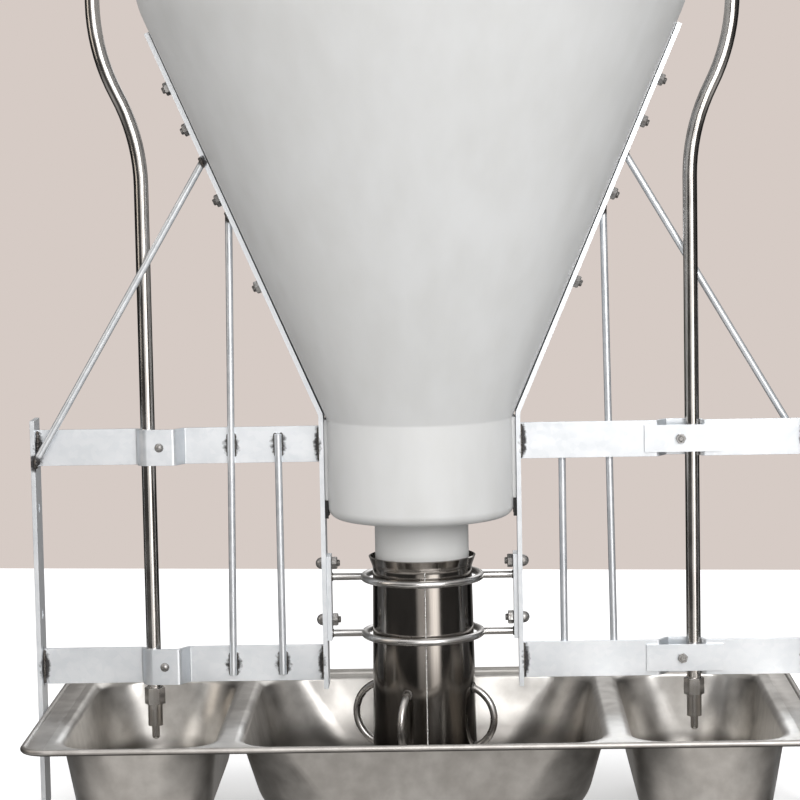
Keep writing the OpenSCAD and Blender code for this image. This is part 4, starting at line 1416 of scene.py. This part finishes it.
    def build(self, zinc: Finish, ring: Finish, rubber: Finish, dull: Finish, welds: WeldBeads) -> None:
        """Dresses the bars and rods, lays the welds and drives the screws.

        Args:
            zinc: Finish of bars and rods.
            ring: Finish of the guide rings.
            rubber: Finish of the neck's pads.
            dull: Finish of the screws.
            welds: The weld beads' tree.
        """
        edges = {
            "upright": 0.7, "upper_rail": 0.6, "lower_rail": 0.6, "long_rod": 0.3, "short_rod": 0.3,
            "brace_rod": 0.3, "end_post": 0.7, "guide_plate": 0.6, "upper_clamp_plate": 0.5,
            "lower_clamp_plate": 0.5,
        }
        dress_pairs(edges, zinc)
        dress_pairs({"neck_pad": 0.3}, rubber)
        dress("upper_guide_ring", ring)
        dress("lower_guide_ring", ring)
        welds.lay("frame_welds", self.seams(), self.bead_r, Body.FRAME, Slot.ZINC)
        welds.lay("guide_welds", self.guide_seams(), self.fine_bead_r, Body.FRAME, Slot.ZINC)
        strap = ScrewSet(
            "strap_screws", ("strap_bolts", "strap_nuts"),
            shank_d=8.0, head_d=13.0, head_h=5.0, nut_af=13.0, nut_h=6.5, grip=10.6,
        )
        strap.drive(self.strap_screws(strap.grip), dull)
        guide = replace(
            strap, name="guide_screws", nodes=("guide_bolts", "guide_nuts"),
            head_d=13.4, head_h=7.4, grip=10.0,
        )
        guide.drive(self.guide_screws(), dull)
        clamp = ScrewSet(
            "clamp_screws", ("clamp_bolts", "clamp_nuts"),
            shank_d=6.0, head_d=10.0, head_h=3.0, nut_af=10.0, nut_h=5.0, grip=23.4, pitch=1.0,
        )
        clamp.drive(self.clamp_screws(), dull)


@dataclass
class WaterSupply:
    """Water pipes with inlets, couplings and nipple drinkers."""

    thread_r: float = 10.2
    thread_l: float = 16.0
    thread_pitch: float = 1.8
    ridge_r: float = 0.55
    ring_steps: int = 40
    ridge_steps: int = 6

    def threads(self, side: str, finish: Finish) -> None:
        """Makes the ridges of an inlet's thread as stacked rings.

        Args:
            side: Prefix of the inlet's solid.
            finish: The inlet's finish.
        """
        tree = NodeTree(side + "thread_ridges")
        count = tree.size("Ridges", "NodeSocketInt")
        start = tree.size("Start", "NodeSocketVector")
        step = tree.size("Step", "NodeSocketVector")
        sizes = ((self.ring_steps, tree.size("Thread radius")), (self.ridge_steps, tree.size("Ridge radius")))
        line = tree.first("GeometryNodeMeshLine", {"Count": count, "Start Location": start, "Offset": step})
        path, wire = (
            tree.first("GeometryNodeCurvePrimitiveCircle", {"Resolution": steps, "Radius": radius})
            for steps, radius in sizes
        )
        ring = tree.first("GeometryNodeCurveToMesh", {"Curve": path, "Profile Curve": wire})
        tree.close(Points=line, Instance=ring)
        low, high = box_mm(side + "inlet")
        middle = (low + high) / 2
        first = Vector((middle.x, middle.y, high.z - self.thread_l + self.thread_pitch)) * METRES
        made = tree.bake(side + "inlet_thread", bpy.data.meshes.new(side + "thread_base"), finish, {
            "Ridges": int(self.thread_l / self.thread_pitch) - 1, "Start": first,
            "Step": (0.0, 0.0, self.thread_pitch * METRES), "Thread radius": self.thread_r * METRES,
            "Ridge radius": self.ridge_r * METRES,
        })
        settle(made, Body.FRAME, finish.slot)

    def build(self, water: Finish, dull: Finish, rubber: Finish) -> None:
        """Dresses pipes, fittings and drinkers.

        Args:
            water: Finish of pipes and drinkers.
            dull: Finish of the inlets.
            rubber: Finish of the seals.
        """
        dress_pairs({"water_pipe": 0.0, "coupling": 0.5, "nipple": 0.4, "nipple_pin": 0.0}, water)
        dress_pairs({"inlet": 0.4}, dull)
        dress_pairs({"nipple_seal": 0.2}, rubber)
        for side in SIDES:
            self.threads(side, dull)


@dataclass
class Studio:
    """Floor, lights, backdrop colour and camera."""

    place: Point = (51.2, -3057.2, 765.4)
    yaw: float = -1.358
    pitch: float = 5.629
    roll: float = -1.071
    lens: float = 125.06
    sensor: float = 36.0
    clip: Pair = (0.05, 60.0)
    floor_half: float = 3000.0
    floor_far: float = 1710.0
    floor_slant: float = 0.105
    floor_heights: Pair = (-12.0, -0.6)
    wall_colour: Colour = (0.672, 0.597, 0.558)
    fill_colour: Colour = (0.54, 0.543, 0.55)
    mirror_colour: Colour = (1.0, 0.965, 0.93)
    lamp_towards: Point = (0.052, -0.9986, 0.0)
    strip_towards: Point = (0.462, -0.887, 0.0)

    def camera(self) -> None:
        """Sets the camera at the photograph's view."""
        yaw, pitch, roll = (math.radians(w) for w in (self.yaw, self.pitch, self.roll))
        ahead = Vector((math.sin(yaw) * math.cos(pitch), math.cos(yaw) * math.cos(pitch), -math.sin(pitch)))
        level = Vector((math.cos(yaw), -math.sin(yaw), 0))
        upright = level.cross(ahead)
        right = level * math.cos(roll) + upright * math.sin(roll)
        up = upright * math.cos(roll) - level * math.sin(roll)
        data = bpy.data.cameras.new("camera")
        data.lens = self.lens
        data.sensor_width = self.sensor
        data.sensor_fit = "HORIZONTAL"
        data.clip_start, data.clip_end = self.clip
        camera = new_object("camera", data)
        turn = Matrix((right, up, -ahead)).transposed().to_4x4()
        camera.matrix_world = Matrix.Translation(Vector(self.place) * METRES) @ turn
        bpy.context.scene.camera = camera

    def floor(self, finish: Finish) -> None:
        """Makes the floor, which neither lights the feeder nor shows in bright metal.

        Args:
            finish: The floor's finish.
        """
        half, slant = self.floor_half, self.floor_slant * self.floor_half
        left, right = self.floor_far + slant, self.floor_far - slant
        corners = [(-half, -half), (half, -half), (half, right), (-half, left)]
        rings = [[(x, y, z) for x, y in corners] for z in self.floor_heights]
        slab = Shell().ring_skin(rings, closed=False, caps=True).piece("floor", finish)
        slab.visible_glossy = False
        slab.visible_diffuse = False

    def light(
        self, name: str, at: Point, target: Point, size: Pair, power: float, colour: Colour = (1.0, 1.0, 1.0)
    ) -> None:
        """Hangs a soft light.

        Args:
            name: The light's name.
            at: Its place.
            target: The point that it faces.
            size: Its width and height in metres.
            power: Its power in watts.
            colour: Its colour.
        """
        data = bpy.data.lights.new(name, "AREA")
        data.shape = "RECTANGLE"
        data.size, data.size_y = size
        data.energy = power
        data.color = colour
        lamp = new_object(name, data)
        lamp.visible_camera = False
        place = Vector(at) * METRES
        aim = (Vector(target) * METRES - place).to_track_quat("-Z", "Y")
        lamp.matrix_world = Matrix.Translation(place) @ aim.to_matrix().to_4x4()

    def room(self, graph: WorldGraph) -> Socket:
        """Makes the room that bright metal mirrors.

        It is dark at the sides, with a pale floor and two lamps in front, a pale wall behind and a pale
        ceiling.

        Args:
            graph: The world's tree.

        Returns:
            The room's brightness in every direction.
        """
        heading = graph.add("ShaderNodeTexCoord").outputs["Generated"]
        _, back, up = graph.parts(heading)
        ground = graph.spread(up, 0.76, 0.06, -0.45, -0.2)
        under = graph.spread(up, 0.64, 0.0, -0.85, -0.58)
        window = graph.spread(up, 0.0, 0.28, 0.02, 0.3)
        front = graph.spread(back, 1.0, 0.15, -0.3, 0.4)
        seen = graph.math("ADD", graph.math("SUBTRACT", ground, under), window)
        ahead = graph.math("MULTIPLY", seen, front)
        ceiling = graph.spread(up, 0.0, 0.35, 0.35, 0.9)
        behind = graph.spread(back, 0.0, 0.22, 0.8, 0.95)
        towards = graph.vector("DOT_PRODUCT", heading, self.lamp_towards)
        level = graph.spread(up, 0.65, 1.0, -0.2, -0.1)
        lamp = graph.math("MULTIPLY", graph.spread(towards, 0.0, 1.0, 0.93, 0.98), level)
        sideways = graph.vector("DOT_PRODUCT", heading, self.strip_towards)
        foot = graph.spread(up, 0.0, 3.2, -0.26, -0.16)
        height = graph.math("SUBTRACT", foot, graph.spread(up, 0.0, 3.2, -0.03, 0.06))
        strip = graph.math("MULTIPLY", graph.spread(sideways, 0.0, 1.0, 0.955, 0.99), height)
        lamps = graph.math("ADD", lamp, strip)
        return graph.math("ADD", ahead, lamps, graph.math("ADD", ceiling, behind))

    def world(self) -> None:
        """Sets the backdrop's colour, the room's soft fill and what bright metal mirrors."""
        graph = WorldGraph("studio")
        shades = ((self.fill_colour, 1.0), (self.mirror_colour, self.room(graph)), (self.wall_colour, 1.0))
        fill, mirror, wall = (
            graph.first("ShaderNodeBackground", {"Color": (*colour, 1.0), "Strength": strength})
            for colour, strength in shades
        )
        path = graph.add("ShaderNodeLightPath").outputs
        seen = graph.first("ShaderNodeMixShader", {0: path["Is Glossy Ray"], 1: fill, 2: mirror})
        last = graph.first("ShaderNodeMixShader", {0: path["Is Camera Ray"], 1: seen, 2: wall})
        graph.add("ShaderNodeOutputWorld", {"Surface": last})
        bpy.context.scene.world = graph.world

    def build(self, finish: Finish) -> None:
        """Builds the studio.

        Args:
            finish: The floor's finish.
        """
        bpy.context.scene.view_settings.view_transform = "Standard"
        self.camera()
        self.floor(finish)
        self.world()
        middle = (0.0, 0.0, 500.0)
        self.light("key", (900, -2900, 1750), middle, (2.2, 1.6), 68.0)
        self.light("top", (-300, -500, 3000), (0, 0, 200), (2.4, 1.6), 13.0)
        self.light("left", (-2600, -900, 1300), middle, (0.8, 2.0), 6.0, (1.0, 0.9, 0.78))
        self.light("back", (600, 2600, 1900), middle, (2.0, 1.4), 12.0)


def main() -> None:
    """Builds the feeder's sub-assemblies and the studio in order."""
    logging.basicConfig(level=logging.INFO, format="%(message)s")
    hopper = Hopper()
    bars = BarFrame(hopper)
    burns = tuple(bars.joints())
    plastic = MouldedPlastic("moulded_plastic", Slot.PLASTIC, (0.69, 0.687, 0.67), (0.75, 0.75, 0.74))
    zinc = ZincCoat("zinc_coat", Slot.ZINC, (0.8, 0.84, 0.88), (0.89, 0.915, 0.945), burns)
    # The bowls' steel carries painted shade low inside, standing for the reflection of their shaded front
    # walls.
    fed = BrightSteel(
        "feed_bowl_steel", Slot.TROUGH, (0.5, 0.48, 0.455), (0.7, 0.68, 0.65),
        rough=(0.28, 0.4), painted_shade=(0.19, 0.18, 0.168),
    )
    wet = replace(fed, name="water_bowl_steel", shade_heights=(36.0, 54.0))
    # Rim steel is a darker, rougher copy of the bowl steel: painted shade that dims the rolled edge's
    # highlight.
    rim = BrightSteel("rim_steel", Slot.TROUGH, (0.42, 0.4, 0.38), (0.58, 0.56, 0.535), rough=(0.38, 0.5))
    # Tube steel: a dark base colour standing for the dim room that it mirrors, and painted shade that makes
    # it darker towards the bottom.
    rolled = BrightSteel(
        "rolled_steel", Slot.TUBE, (0.25, 0.232, 0.215), (0.32, 0.3, 0.28),
        grain=(1, 1, 0.03), grain_scale=420.0, wave_scale=9.0, wave_depth=0.12, rough=(0.09, 0.15),
        painted_shade=(0.13, 0.12, 0.11), shade_heights=(140.0, 205.0), shade_inside=False,
    )
    wire = BrightSteel("loop_wire", Slot.LOOP, (0.4, 0.385, 0.37), (0.62, 0.6, 0.58), rough=(0.2, 0.34))
    ring = BrightSteel("ring_wire", Slot.ZINC, (0.6, 0.59, 0.58), (0.8, 0.79, 0.78), rough=(0.22, 0.32))
    turned = BrightSteel(
        "pipe_steel", Slot.WATER, (0.5, 0.48, 0.46), (0.7, 0.68, 0.66),
        grain=(1, 1, 0.04), grain_scale=300.0, wave_scale=30.0, wave_depth=0.1, rough=(0.12, 0.22),
    )
    dull = DullSteel("dull_hardware", Slot.FASTENER, (0.3, 0.293, 0.285), (0.52, 0.51, 0.5))
    weld = DullSteel("weld_metal", Slot.ZINC, (0.06, 0.055, 0.05), (0.2, 0.19, 0.18), relief=0.3)
    rubber = BlackRubber("black_rubber", Slot.RUBBER, (0.012, 0.012, 0.012), (0.045, 0.044, 0.042))
    floor = StudioFloor("studio_floor", Slot.ZINC, (0.95, 0.95, 0.95), (0.97, 0.97, 0.97))
    welds = WeldBeads(weld)
    Trough().build(wet, fed, rim)
    hopper.build(plastic)
    FeedTube().build(rolled, wire, ring, dull, welds)
    bars.build(zinc, ring, rubber, dull, welds)
    WaterSupply().build(turned, dull, rubber)
    Studio().build(floor)


if __name__ == "__main__":
    main()
